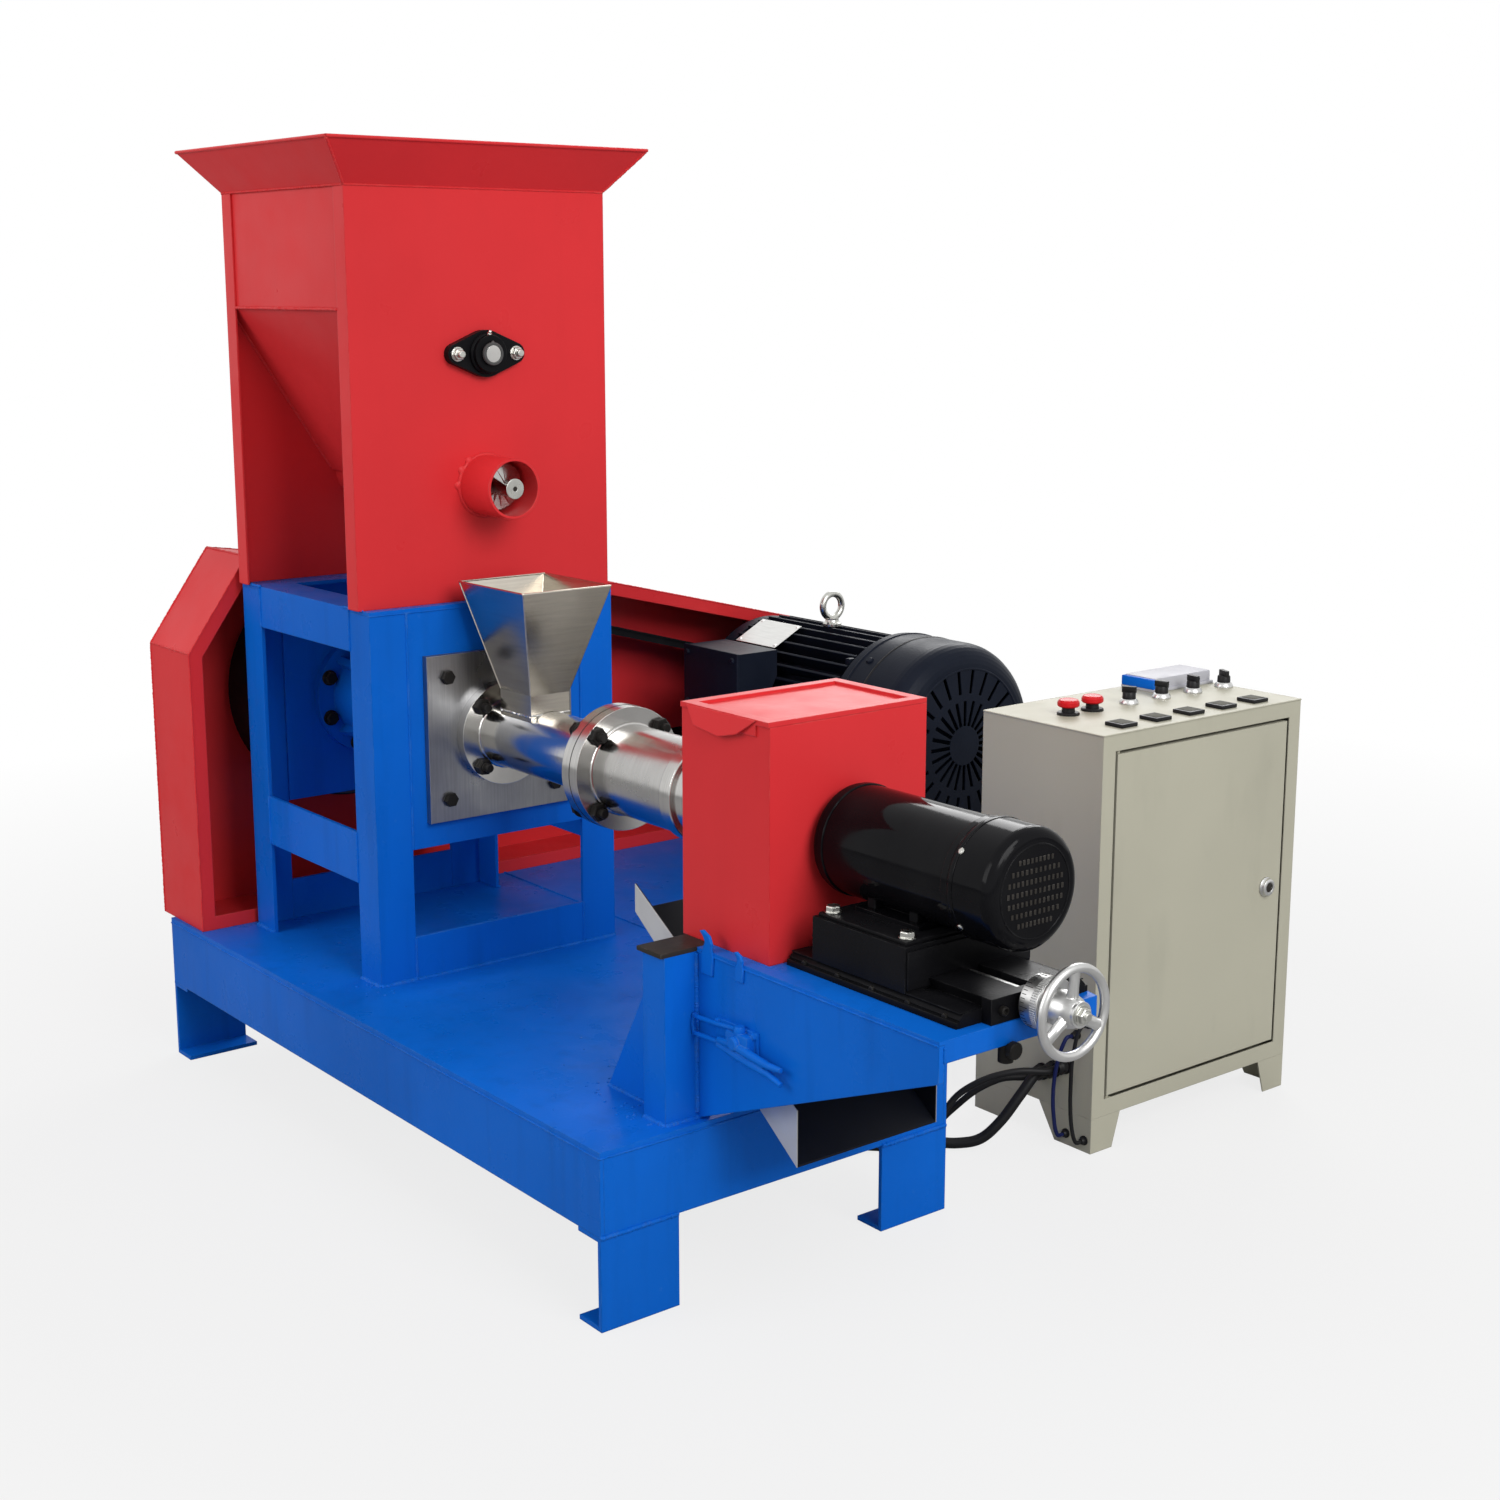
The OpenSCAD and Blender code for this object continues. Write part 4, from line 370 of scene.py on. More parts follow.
# Shapes in mesh code
class Piece:
    """A mesh that is built up from several shapes and rides on one body."""

    unfinished = []
    BEAD_SIDES = 8
    # Sizes of bolts and nuts as shares of the thread's diameter
    WASHER_R, WASHER_T, HEXAGON_R, CORNER_R = 1.05, 0.18, 0.92, 0.80
    HEAD_H, NUT_H, THREAD_R, TIP_R = 0.66, 0.80, 0.48, 0.40

    def __init__(self, name, look, body="machine", slot=None, smooth=0.6):
        self.name = name
        self.look = look
        self.body = body
        self.slot = slot or look
        self.smooth = smooth
        self.mesh = bmesh.new()
        self.unfinished.append(self)

    def block(self, low, high, chamfer=1.2, turn=None):
        """Box with rounded edges between two points in millimetres off the datum."""
        a, b = at(*low), at(*high)
        middle, size = (a + b) / 2, b - a
        place = Matrix.Translation(middle) @ (turn or Matrix.Identity(4)) @ Matrix.Diagonal((*size, 1.0))
        made = bmesh.ops.create_cube(self.mesh, size=1.0, matrix=place)
        edges = list({e for v in made["verts"] for e in v.link_edges})
        bmesh.ops.bevel(self.mesh, geom=edges, offset=chamfer * MM, segments=2, profile=0.6, affect="EDGES")

    def rings(self, loops, loop=False):
        """Skin over rings of points."""
        rows = [[self.mesh.verts.new(p) for p in ring] for ring in loops]
        count = len(rows[0])
        pairs = list(zip(rows, rows[1:]))
        if loop:
            pairs.append((rows[-1], rows[0]))
        for a, b in pairs:
            for k in range(count):
                self.mesh.faces.new((a[k], a[(k + 1) % count], b[(k + 1) % count], b[k]))
        if not loop:
            self.mesh.faces.new(rows[0][::-1])
            self.mesh.faces.new(rows[-1])

    def lathe(self, origin, axis, profile, sides=32, spin=0.0, loop=False):
        """Turned shape: profile gives millimetres along the axis and the radius there."""
        axis = axis.normalized()
        u = axis.orthogonal().normalized()
        w = axis.cross(u)
        loops = []
        for along, radius in profile:
            centre = origin + axis * along * MM
            loops.append([
                centre + radius * MM * (cos(t) * u + sin(t) * w)
                for t in turns(sides, spin)
            ])
        self.rings(loops, loop=loop)

    def tube(self, points, radius, sides=10, loop=False):
        """Round rod through points; radius in millimetres is one number or one for each point."""
        count = len(points)
        radii = radius if isinstance(radius, list) else [radius] * count
        loops = []
        side = None
        for i, p in enumerate(points):
            if loop:
                ahead = (points[(i + 1) % count] - points[i - 1]).normalized()
            else:
                ahead = (points[min(i + 1, count - 1)] - points[max(i - 1, 0)]).normalized()
            side = (side - ahead * side.dot(ahead)).normalized() if side else ahead.orthogonal().normalized()
            other = ahead.cross(side)
            loops.append([
                p + radii[i] * MM * (cos(t) * side + sin(t) * other)
                for t in turns(sides)
            ])
        self.rings(loops, loop=loop)

    def hoop(self, x, y, z, radius, count, thick):
        """Round bead on a circle that faces along X; thick is as for a tube."""
        self.tube(ring_places(x, y, z, radius, count), thick, self.BEAD_SIDES, loop=True)

    def border(self, corners, thick):
        """Rods from corner to corner, right round."""
        for a, b in around(corners):
            self.tube([a, b], thick, self.BEAD_SIDES)

    def prism(self, outline, origin, u, v, depth, chamfer=0.0):
        """Plate with an outline in millimetres along u and v, thick along u cross v."""
        across = u.cross(v) * depth * MM
        near = [origin + (u * a + v * b) * MM for a, b in outline]
        low = [self.mesh.verts.new(p) for p in near]
        high = [self.mesh.verts.new(p + across) for p in near]
        made = [self.mesh.faces.new(low[::-1]), self.mesh.faces.new(high)]
        count = len(outline)
        for k in range(count):
            made.append(self.mesh.faces.new((low[k], low[(k + 1) % count], high[(k + 1) % count], high[k])))
        if chamfer:
            edges = list({e for f in made[:2] for e in f.edges})
            bmesh.ops.bevel(self.mesh, geom=edges, offset=chamfer * MM, segments=1, affect="EDGES")

    def bolt(self, foot, axis, size, washer=True, spin=0.0):
        """Hexagon bolt head on a washer; size is the thread's diameter in millimetres."""
        low = 0.0
        if washer:
            low = self.washer(foot, axis, size)
        high = low + self.HEAD_H * size
        hexagon = self.HEXAGON_R * size
        profile = [(low, hexagon), (low + 0.86 * (high - low), hexagon), (high, self.CORNER_R * size)]
        self.lathe(foot, axis, profile, 6, spin)

    def washer(self, foot, axis, size):
        """Washer of a bolt or nut; gives its thickness."""
        thick = self.WASHER_T * size
        self.lathe(foot, axis, [(0, self.WASHER_R * size), (thick, self.WASHER_R * size)], 24)
        return thick

    def nut(self, foot, axis, size, stub):
        """Hexagon nut on a washer with the thread's end standing out."""
        low = self.washer(foot, axis, size)
        high = low + self.NUT_H * size
        bevel = 1.2
        hexagon, corner, thread = self.HEXAGON_R * size, self.CORNER_R * size, self.THREAD_R * size
        profile = [(low, corner), (low + bevel, hexagon), (high - bevel, hexagon), (high, corner)]
        self.lathe(foot, axis, profile, 6)
        end = high + stub
        self.lathe(foot, axis, [(high, thread), (end - 1, thread), (end, self.TIP_R * size)], 16)

    def socket_screw(self, foot, axis, size):
        """Socket head screw with its recess."""
        r, bevel = 0.75 * size, 0.8
        recess = [(size, 0.48 * size), (0.55 * size, 0.42 * size)]
        self.lathe(foot, axis, [(0, r), (size - bevel, r), (size, r - bevel), *recess], 18)

    def weld(self, start, end, size=4.0):
        """Rippled weld bead between two points in millimetres off the datum, half sunk in what it joins."""
        start, end = at(*start), at(*end)
        path = end - start
        ripple, wobble, taper = 3.2 * MM, 0.35, 0.6
        count = max(3, int(path.length / ripple) * 2)
        points = [start + path * k / count for k in range(count + 1)]
        wander = [Vector([chance(-wobble, wobble) * MM for _ in range(3)]) for _ in points]
        radii = [size * (0.86 + 0.14 * (k % 2) + chance(-0.06, 0.06)) for k in range(count + 1)]
        radii[0] *= taper
        radii[-1] *= taper
        self.tube([p + w for p, w in zip(points, wander)], radii, self.BEAD_SIDES)

    def finish(self):
        """Object of the shapes made so far."""
        self.unfinished.remove(self)
        data = bpy.data.meshes.new(self.name)
        bmesh.ops.recalc_face_normals(self.mesh, faces=self.mesh.faces)
        self.mesh.to_mesh(data)
        self.mesh.free()
        data.materials.append(looks[self.look])
        data.shade_smooth()
        data.set_sharp_from_angle(angle=self.smooth)
        made = add_object(self.name, data)
        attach(made, self.body)
        return made


# Cables on the routes that the solids have
CABLE_STEPS = 6
POWER_ROUTE = (
    (318, 185, 110), (318, 165, 110), (312, 140, 82), (300, 115, 46), (282, 92, 18),
    (258, 68, 9), (228, 38, 9), (190, -5, 9), (150, -55, 9), (115, -110, 12),
    (90, -155, 40), (78, -178, 95), (76, -182, 155), (76, -182, 205),
)
CUTTER_ROUTE = (
    (340, 185, 122), (340, 165, 122), (318, 130, 124), (288, 95, 112), (258, 65, 84),
    (244, 42, 46), (234, 22, 14), (216, -5, 6), (175, -50, 6), (142, -105, 8),
    (118, -155, 36), (106, -178, 92), (104, -182, 155), (104, -182, 205),
)
FEEDER_ROUTE = (
    (296, 185, 100), (296, 165, 100), (276, 138, 98), (250, 110, 78), (224, 84, 44),
    (204, 62, 14), (180, 34, 6), (145, -10, 6), (105, -60, 6), (72, -110, 8),
    (56, -155, 36), (49, -178, 92), (48, -182, 155), (48, -182, 205),
)
BLACK_ROUTE = (
    (390, 193, 200), (390, 183, 200), (388, 177, 189), (385, 175, 170), (380, 176, 145),
    (377, 178, 115), (376, 179, 85), (377, 180, 58), (379, 182, 36), (381, 185, 23),
    (382, 189, 18), (382, 197, 18),
)
BLUE_ROUTE = (
    (362, 193, 176), (362, 183, 176), (360, 177, 165), (355, 175, 147), (349, 175, 122),
    (345, 176, 96), (343, 178, 70), (344, 180, 46), (345, 182, 31), (346, 185, 22),
    (346, 189, 18), (346, 197, 18),
)


def smooth_route(route):
    """Points in metres on a smooth curve through a route in millimetres."""
    p = [Vector(q) * MM for q in route]
    last = len(p) - 1
    points = []
    for i in range(last):
        a, b, c, d = p[max(i - 1, 0)], p[i], p[i + 1], p[min(i + 2, last)]
        for k in range(CABLE_STEPS):
            t = k / CABLE_STEPS
            square = 2 * a - 5 * b + 4 * c - d
            cube = 3 * b - a - 3 * c + d
            points.append(0.5 * (2 * b + (c - a) * t + square * t**2 + cube * t**3))
    points.append(p[last])
    return points


def add_cable(node, route, diameter, look):
    """Cable along a route that goes back into the machine, shown in place of the solid cable."""
    name = node + "_run"
    points = smooth_route(route)
    data = bpy.data.curves.new(name, "CURVE")
    data.dimensions = "3D"
    data.bevel_depth = diameter / 2
    data.bevel_resolution = 4
    data.use_fill_caps = True
    line = data.splines.new("POLY")
    line.points.add(len(points) - 1)
    for place, p in zip(line.points, points):
        place.co = (*p, 1.0)
    line.use_smooth = True
    data.materials.append(looks[look])
    cable = add_object(name, data)
    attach(cable, "machine")
    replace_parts(cable, node)


add_cable("power_cable", POWER_ROUTE, 0.016, "black_cable")
add_cable("cutter_cable", CUTTER_ROUTE, 0.010, "black_cable")
add_cable("feeder_cable", FEEDER_ROUTE, 0.010, "black_cable")
add_cable("black_lead", BLACK_ROUTE, 0.006, "black_cable")
add_cable("blue_lead", BLUE_ROUTE, 0.006, "blue_cable")


# Places that several details share, in millimetres off the datum
DECK_TOP = 233.0
CHANNEL_LOW, FOOT_W = 123.0, 118.0
DECK_X0, DECK_X1 = -532.0, 705.0
DECK_Y0, DECK_Y1 = -306.0, 268.0
PLATFORM_X1, PLATFORM_Y1 = 219.0, 1024.0
PED_X0, PED_Y, PED_TOP = -409.0, 210.0, 793.0
POST_W = 60.0
HOP_X0, HOP_X1, HOP_Y, HOP_TOP = -405.0, -18.0, 217.0, 1388.0
RIM_FLARE, RIM_TOP = 50.0, 1450.0
FEED_Z, AGITATOR_Z = 962.0, 1154.0
ARM_X0, ARM_X1, ARM_Z, ARM_Y = 689.0, 1119.0, 450.0, 146.0
ARM_FAR_X1, ARM_POST_X0 = 919.0, 644.0
DIAL_X0, DIAL_R = 1124.0, 31.0
TABLE_Z = 455.0
BOX_X0, BOX_Y, BOX_TOP = 633.0, 127.6, 751.0
MOTOR_Y, MOTOR_Z = 844.0, 480.0
FRAME_X0, FRAME_X1, COWL_X1 = -376.0, -46.0, 138.0
CUTTER_X0, CAP_X0, CAP_X1 = 812.0, 1049.0, 1115.0
CARRIAGE_X0, CARRIAGE_X1, CARRIAGE_TOP = 854.0, 1014.0, 525.0
SLIDE_X1, SLIDE_Y = 1102.0, 100.0
WHEEL_Z = 473.0
CAB_X0, CAB_X1, CAB_Y0, CAB_Y1, CAB_Z1 = 463.0, 703.0, 564.0, 1009.0, 628.0
EIGHTH_TURN = pi / 4


def barrel_fasteners():
    """Black screws of the barrel's plate and flanges."""
    piece = Piece("barrel_bolts", "black_bolt", slot="black_casting", smooth=0.5)
    corner = 92.0
    for y in (-corner, corner):
        for z in (-corner, corner):
            piece.bolt(at(12, y, SCREW_Z + z), X_AXIS, 12, washer=False, spin=0.3)
    for x, radius, spin, stub in ((30, 64, 0.2, 20), (341, 75, 0.4, 18)):
        for place in ring_places(x, 0, SCREW_Z, radius, 4, EIGHTH_TURN):
            piece.bolt(place, X_AXIS, 14, washer=False, spin=spin)
            piece.lathe(place, X_AXIS, [(9, 6.5), (stub, 6.5), (stub + 1, 5.5)], 14)
    for place in ring_places(305, 0, SCREW_Z, 75, 4, EIGHTH_TURN):
        piece.nut(place, -X_AXIS, 14, stub=8)
    piece.hoop(323, 0, SCREW_Z, 86.7, 72, 0.8)
    seams = Piece("barrel_seams", "stainless")
    for x, radius in ((31, 50.2), (304, 50.2), (342, 63.2)):
        seams.hoop(x, 0, SCREW_Z, radius, 72, [2.6 + 0.5 * (k % 2) for k in range(72)])
    collar = [(0, 62.8), (0, 67), (1.5, 68.5), (22.5, 68.5), (24, 67), (24, 62.8)]
    seams.lathe(at(503, 0, SCREW_Z), X_AXIS, collar, 64, loop=True)
    for y in (-33, 33):
        seams.weld((64, y, 641), (146, y, 641), 2.0)
    for x in (64, 146):
        seams.weld((x, -33, 643), (x, 33, 643), 2.0)


def funnel_edges():
    """Folded rim and corner seams of the sheet funnel."""
    piece = Piece("funnel_rim", "stainless_sheet", slot="stainless")
    high = rectangle(24, 196, -74, 74, 829)
    low = rectangle(65, 145, -33, 33, 673)
    piece.border(high, 1.5)
    for a, b in zip(high, low):
        piece.tube([a, b], 1.2, Piece.BEAD_SIDES)


def bearing_fittings():
    """Bolts, grease nipple and raised ring of the flange bearing, and the collar on its shaft."""
    bolts = Piece("bearing_bolts", "zinc_steel", smooth=0.5)
    for y in (-49.5, 49.5):
        bolts.bolt(at(-5, y, AGITATOR_Z), X_AXIS, 10, spin=0.35)
        bolts.lathe(at(-5, y, AGITATOR_Z), X_AXIS, [(9, 5.6), (14, 5.6), (15, 4.6)], 14)
    nipple = [(0, 3.5), (4, 3.5), (4, 2.4), (7, 2.8), (9, 1.6)]
    bolts.lathe(at(2, 0, AGITATOR_Z + 26), Vector((0.5, 0, 0.87)), nipple, 12)
    ring = Piece("bearing_ring", "black_casting")
    profile = [(13, 29.5), (17, 29.5), (19, 27.5), (19, 24.2), (13, 24.2)]
    ring.lathe(at(-18, 0, AGITATOR_Z), X_AXIS, profile, 40, loop=True)
    collar = Piece("agitator_collar", "cast_iron", "agitator", "stainless")
    profile = [(0, 12.6), (0, 15.5), (1, 16.5), (5, 16.5), (6, 15.5), (6, 12.6)]
    collar.lathe(at(9, 0, AGITATOR_Z), X_AXIS, profile, 32, loop=True)
    collar.socket_screw(at(12, 0, AGITATOR_Z + 15.5), Z_AXIS, 3)
    end = Piece("feed_screw_end", "zinc_steel", "feed_screw", "stainless", smooth=0.5)
    end.lathe(at(61, 0, FEED_Z), X_AXIS, [(0, 12), (2.5, 15), (3, 14.5), (3, 3.5), (0.5, 3.5)], 28)
    # Dark plug that fills the recess in the screw's end: painted shade of the hole.
    hole = Piece("feed_screw_hole_shade", "dark_plate", "feed_screw", "stainless")
    hole.lathe(at(61, 0, FEED_Z), X_AXIS, [(0.4, 3.4), (3.2, 3.2)], 20)


def hopper_seams():
    """Welded and painted seams of the hopper, its rim and its feed tube."""
    piece = Piece("hopper_seams", "red_paint")
    corners = ((HOP_X0, -HOP_Y), (HOP_X1, -HOP_Y), (HOP_X1, HOP_Y), (HOP_X0, HOP_Y))
    for x, y in corners[1:3]:
        out_y = RIM_FLARE if y > 0 else -RIM_FLARE
        piece.weld((x, y, HOP_TOP + 1), (x + RIM_FLARE - 3, y + out_y * 0.95, RIM_TOP - 3), 2.4)
    for a, b in around(corners):
        piece.weld((*a, HOP_TOP), (*b, HOP_TOP), 1.8)
    for side in (-1, 1):
        piece.weld((HOP_X0 + 30, side * 216, 1218), (HOP_X1 - 30, side * 216, 1218), 2.4)
        for x in (HOP_X0 + 4, HOP_X1 - 4):
            piece.weld((x, side * 212, 1214), (x, side * 52, 966), 2.4)
    thick = [2.6 + 0.5 * (k % 2) + chance(-0.3, 0.4) for k in range(64)]
    piece.hoop(HOP_X1 + 1, 0, FEED_Z, 45, 64, thick)
    for turn in (2.2, 2.6, 3.1):
        place = at(HOP_X1, 46 * cos(turn), FEED_Z + 46 * sin(turn))
        piece.lathe(place, X_AXIS, [(-2, 7), (1.5, 6.4), (3.2, 4.2), (3.8, 1.5)], 12)
    rim = Piece("hopper_rim_edge", "red_paint")
    out = RIM_FLARE - 2
    rim.border(rectangle(HOP_X0 - out, HOP_X1 + out, -HOP_Y - out, HOP_Y + out, RIM_TOP - 1.5), 2.6)


def frame_welds():
    """Painted weld beads of the base, the pedestal and the arm."""
    piece = Piece("frame_welds", "blue_paint")
    z = DECK_TOP
    inner = PED_Y - POST_W
    for side in (-1, 1):
        y = side * PED_Y
        for x, to_x in ((0, -1), (PED_X0, 1)):
            piece.weld((x, y, z), (x + to_x * POST_W, y, z), 4.5)
            piece.weld((x, y, z), (x, side * inner, z), 4.5)
            seam_x = x + to_x * POST_W
            for low, high in ((380, 458), (729, 793)):
                piece.weld((seam_x, y, low), (seam_x, y, high), 2.4)
            for low, high in ((z, 299), (433, 787)):
                piece.weld((x, side * inner, low), (x, side * inner, high), 2.2)
    for x in (0, PED_X0):
        piece.weld((x, -inner, z), (x, inner, z), 4.0)
        piece.weld((x, -PED_Y, PED_TOP - 6), (x, PED_Y, PED_TOP - 6), 1.6)
    for y in (-PED_Y, PED_Y):
        piece.weld((HOP_X0 + 2, y, PED_TOP), (HOP_X0 + 60, y, PED_TOP), 2.6)
        piece.weld((HOP_X1 - 60, y, PED_TOP), (HOP_X1, y, PED_TOP), 2.6)
    for side in (-1, 1):
        near, far = side * 126, side * 196
        for x0, y0, x1, y1 in (
            (ARM_POST_X0, near, ARM_POST_X0, far), (ARM_POST_X0, far, ARM_X0, far),
            (ARM_X0, near, ARM_X0, far), (ARM_POST_X0, near, ARM_X0, near),
        ):
            piece.weld((x0, y0, z), (x1, y1, z), 4.5)
        piece.weld((ARM_X0, side * 147, 240), (ARM_X0, side * 147, 448), 4.0)
        for y in (side * 161, side * 169):
            piece.weld((528, y, z), (ARM_POST_X0, y, z), 3.6)
            piece.weld((ARM_POST_X0, y, z + 4), (ARM_POST_X0, y, 440), 3.2)
    piece.weld((ARM_X0, -ARM_Y, ARM_Z), (ARM_X1, -ARM_Y, ARM_Z), 1.5)
    piece.weld((ARM_X0, ARM_Y, ARM_Z), (ARM_FAR_X1, ARM_Y, ARM_Z), 1.5)
    piece.weld((ARM_X1, -138, ARM_Z - 21), (ARM_X1, -138, ARM_Z - 2), 1.8)
    near, far, end = DECK_Y0, DECK_Y1 - FOOT_W, PLATFORM_Y1 - FOOT_W
    for x, y in (
        (DECK_X1, near), (DECK_X1, far), (DECK_X0, near), (DECK_X0, far), (DECK_X0, end), (PLATFORM_X1, end),
    ):
        piece.weld((x, y, CHANNEL_LOW), (x, y + FOOT_W, CHANNEL_LOW), 3.4)
    outline = (
        (DECK_X0, DECK_Y0), (DECK_X1, DECK_Y0), (DECK_X1, DECK_Y1),
        (PLATFORM_X1, DECK_Y1), (PLATFORM_X1, PLATFORM_Y1), (DECK_X0, PLATFORM_Y1),
    )
    for a, b in around(outline):
        piece.weld((*a, z - 8), (*b, z - 8), 1.6)
    piece.weld((DECK_X0, DECK_Y1, z), (PLATFORM_X1, DECK_Y1, z), 2.2)
    for side in (-1, 1):
        for edge in (-37, 37):
            y = MOTOR_Y + side * 114 + edge
            piece.weld((FRAME_X0, y, z), (FRAME_X0 + 90, y, z), 3.4)
            piece.weld((FRAME_X1 - 90, y, z), (FRAME_X1, y, z), 3.4)
    spots = Piece("paint_lumps", "blue_paint")
    low = DECK_TOP - 0.4
    for _ in range(70):
        x, y = chance(-520, 690), chance(-296, 258)
        size = chance(1.2, 2.8)
        spots.lathe(at(x, y, low), Z_AXIS, [(0, size), (0.5, 0.9 * size), (1.0, 0.5 * size)], 8)
    for x0, y0 in ((528, -165), (644, -196), (0, -210), (600, -180)):
        for _ in range(9):
            size = chance(1.5, 3.4)
            place = at(x0 + chance(-34, 34), y0 + chance(-34, 12), low)
            spots.lathe(place, Z_AXIS, [(0, size), (0.8, 0.85 * size), (1.6, 0.4 * size)], 8)


def arm_fittings():
    """Bare caps of the arm's posts, hooks that hold the guard, and the bolt under the tip."""
    caps = Piece("post_caps", "dark_plate", slot="black_casting")
    for low, high in ((-201.4, -125.6), (125.6, 201.4)):
        caps.block((638.6, low, 449.6), (689.4, high, 455.6), 1.0)
    hooks = Piece("guard_hooks", "blue_paint")
    outline = [
        (-16, -40), (12, -40), (15, -8), (9, 4), (12, 14), (6, 26), (-10, 33),
        (-20, 30), (-9, 24), (-4, 15), (-8, 4), (-14, -4),
    ]
    for x, high, grow in ((713, 456, 0.76), (776, 453, 0.50)):
        shape = [(a * grow, b * grow) for a, b in outline]
        hooks.prism(shape, at(x, -ARM_Y - 3.6, high), X_AXIS, Z_AXIS, -4, 0.8)
    bolt = Piece("arm_tip_bolt", "black_bolt", slot="black_casting", smooth=0.5)
    bolt.lathe(at(ARM_X1 - 4, -40, 420), -Z_AXIS, [(-8, 9), (0, 9), (12, 9), (13, 7)], 18)
    bolt.lathe(at(ARM_X1 - 4, -40, 424), X_AXIS, [(0, 6), (9, 6), (9, 10), (16, 10), (17, 8.5)], 18)


def latch_fittings():
    """Toggle latch: base, pivot, bent wire loop and forked lever."""
    y = -ARM_Y
    piece = Piece("latch_parts", "blue_paint")
    piece.block((730, y - 4, 342), (812, y + 0.4, 378), 1.5)
    for low, high in ((348, 356), (370, 378)):
        hook = [at(693, y - 7, low), at(702, y - 10, low + 1)]
        piece.tube(hook + [at(744, y - 12, low + 4), at(788, y - 11, high)], 3.0, 10)
    piece.tube([at(693, y - 7, 345), at(691, y - 8, 359), at(693, y - 7, 373)], 3.2, 10)
    piece.block((766, y - 17, 346), (808, y - 3.5, 374), 2.5)
    for z in (345, 376):
        piece.lathe(at(786, y - 10, z), Z_AXIS, [(-6, 6), (-3, 7.5), (3, 7.5), (6, 6)], 14)
    piece.lathe(at(786, y - 16, 362), -Y_AXIS, [(0, 9), (5, 9), (7, 7)], 18)
    for spread in (-1, 1):
        points = [
            at(748, y - 12, 352 + 3 * spread), at(782, y - 16, 354 + 5 * spread),
            at(818, y - 17, 350 + 5 * spread), at(846, y - 15, 346 + 5 * spread),
            at(868, y - 13, 342 + 9 * spread),
        ]
        piece.tube(points, [4.5, 6, 5.6, 4.6, 3.4], 10)
    piece.block((800, y - 19, 344), (840, y - 11, 356), 2.0)
    for x in (736, 806):
        for z in (347, 373):
            piece.lathe(at(x, y - 3.5, z), -Y_AXIS, [(-1, 5), (3, 5), (5, 3.6)], 6)
    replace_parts(piece.finish(), "arm_latch")


def slide_fittings():
    """Screws of the slide, foot bolts of the cutter motor, and wipers on the carriage."""
    screws = Piece("slide_screws", "black_bolt", slot="black_casting", smooth=0.5)
    for x in (840, 900, 960, 1020, 1080):
        screws.lathe(at(x, -SLIDE_Y, 463), -Y_AXIS, [(-1, 4.2), (2.2, 4.2), (3, 3.4)], 6)
    for y in (-50, 50):
        screws.socket_screw(at(1117, y, 470), X_AXIS, 7)
    ways = Piece("slide_ways", "black_casting")
    for y0, y1 in ((-98, -72), (72, 98)):
        ways.block((CUTTER_X0 + 1, y0, 470.6), (SLIDE_X1 - 1, y1, 472.2), 0.6)
    for y0, y1 in ((-SLIDE_Y - 5, -SLIDE_Y + 1), (SLIDE_Y - 1, SLIDE_Y + 5)):
        ways.block((CUTTER_X0, y0, TABLE_Z), (SLIDE_X1, y1, TABLE_Z + 8), 1.5)
    bolts = Piece("cutter_foot_bolts", "zinc_steel", "cutter_carriage", smooth=0.5)
    for x in (CARRIAGE_X0 + 16, CARRIAGE_X1 - 16):
        for y in (-82, 82):
            bolts.bolt(at(x, y, CARRIAGE_TOP + 5), Z_AXIS, 10, spin=0.5)
    plate = Piece("cutter_foot_plate", "black_casting", "cutter_carriage")
    plate.block((CARRIAGE_X0 + 4, -95, CARRIAGE_TOP - 0.4), (CARRIAGE_X1 - 4, 95, CARRIAGE_TOP + 5), 1.6)
    for y in (-1, 1):
        for x in (889, 961):
            outline = [(-46 * y, 0), (-22 * y, 0), (-30 * y, 34), (-44 * y, 40)][::y]
            plate.prism(outline, at(x, 0, CARRIAGE_TOP + 9.5), Y_AXIS, Z_AXIS, 14, 1.0)
    for x0, x1 in ((CARRIAGE_X0 - 3, CARRIAGE_X0 + 0.5), (CARRIAGE_X1 - 0.5, CARRIAGE_X1 + 3)):
        plate.block((x0, -98, 475), (x1, 98, 520), 1.2)


def cutter_motor_dress():
    """Bands, vents and screws of the cutter motor."""
    body = Piece("cutter_motor_bands", "black_gloss", "cutter_carriage")
    for x, width, radius in ((824, 9, 69.6), (1036, 11, 70.4)):
        edge = radius - 1
        band = [(0, 67.6), (0, edge), (1, radius), (width - 1, radius), (width, edge), (width, 67.6)]
        body.lathe(at(x, 0, SCREW_Z), X_AXIS, band, 56, loop=True)
    lip = [(2, 71.6), (2, 72.6), (5, 73), (8, 72.6), (8, 71.6)]
    body.lathe(at(CAP_X0, 0, SCREW_Z), X_AXIS, lip, 64, loop=True)
    body.hoop(CAP_X1 - 0.4, 0, SCREW_Z, 54, 64, 1.3)
    # Vent slots are dark blocks standing on the closed cap: painted shade of the openings.
    vents = Piece("cutter_vents", "dark_plate", "cutter_carriage", "black_gloss")
    for dz in (-36, -24, -12, 0, 12, 24, 36):
        z = SCREW_Z + dz
        reach = sqrt(46.0**2 - dz**2)
        count = max(2, int(reach // 7))
        for k in range(-count, count + 1):
            dy = k * reach / (count + 0.5)
            vents.block((CAP_X1 - 1, dy - 1.7, z - 3), (CAP_X1 + 0.9, dy + 1.7, z + 3), 0.6)
    screws = Piece("cutter_cap_screws", "zinc_steel", "cutter_carriage")
    for turn in (0.6, 2.5, 3.8, 5.7):
        u = spoke(turn)
        screws.lathe(at(1057, 0, SCREW_Z) + u * 71.6 * MM, u, [(0, 4), (1.4, 4), (2.4, 2.6)], 14)


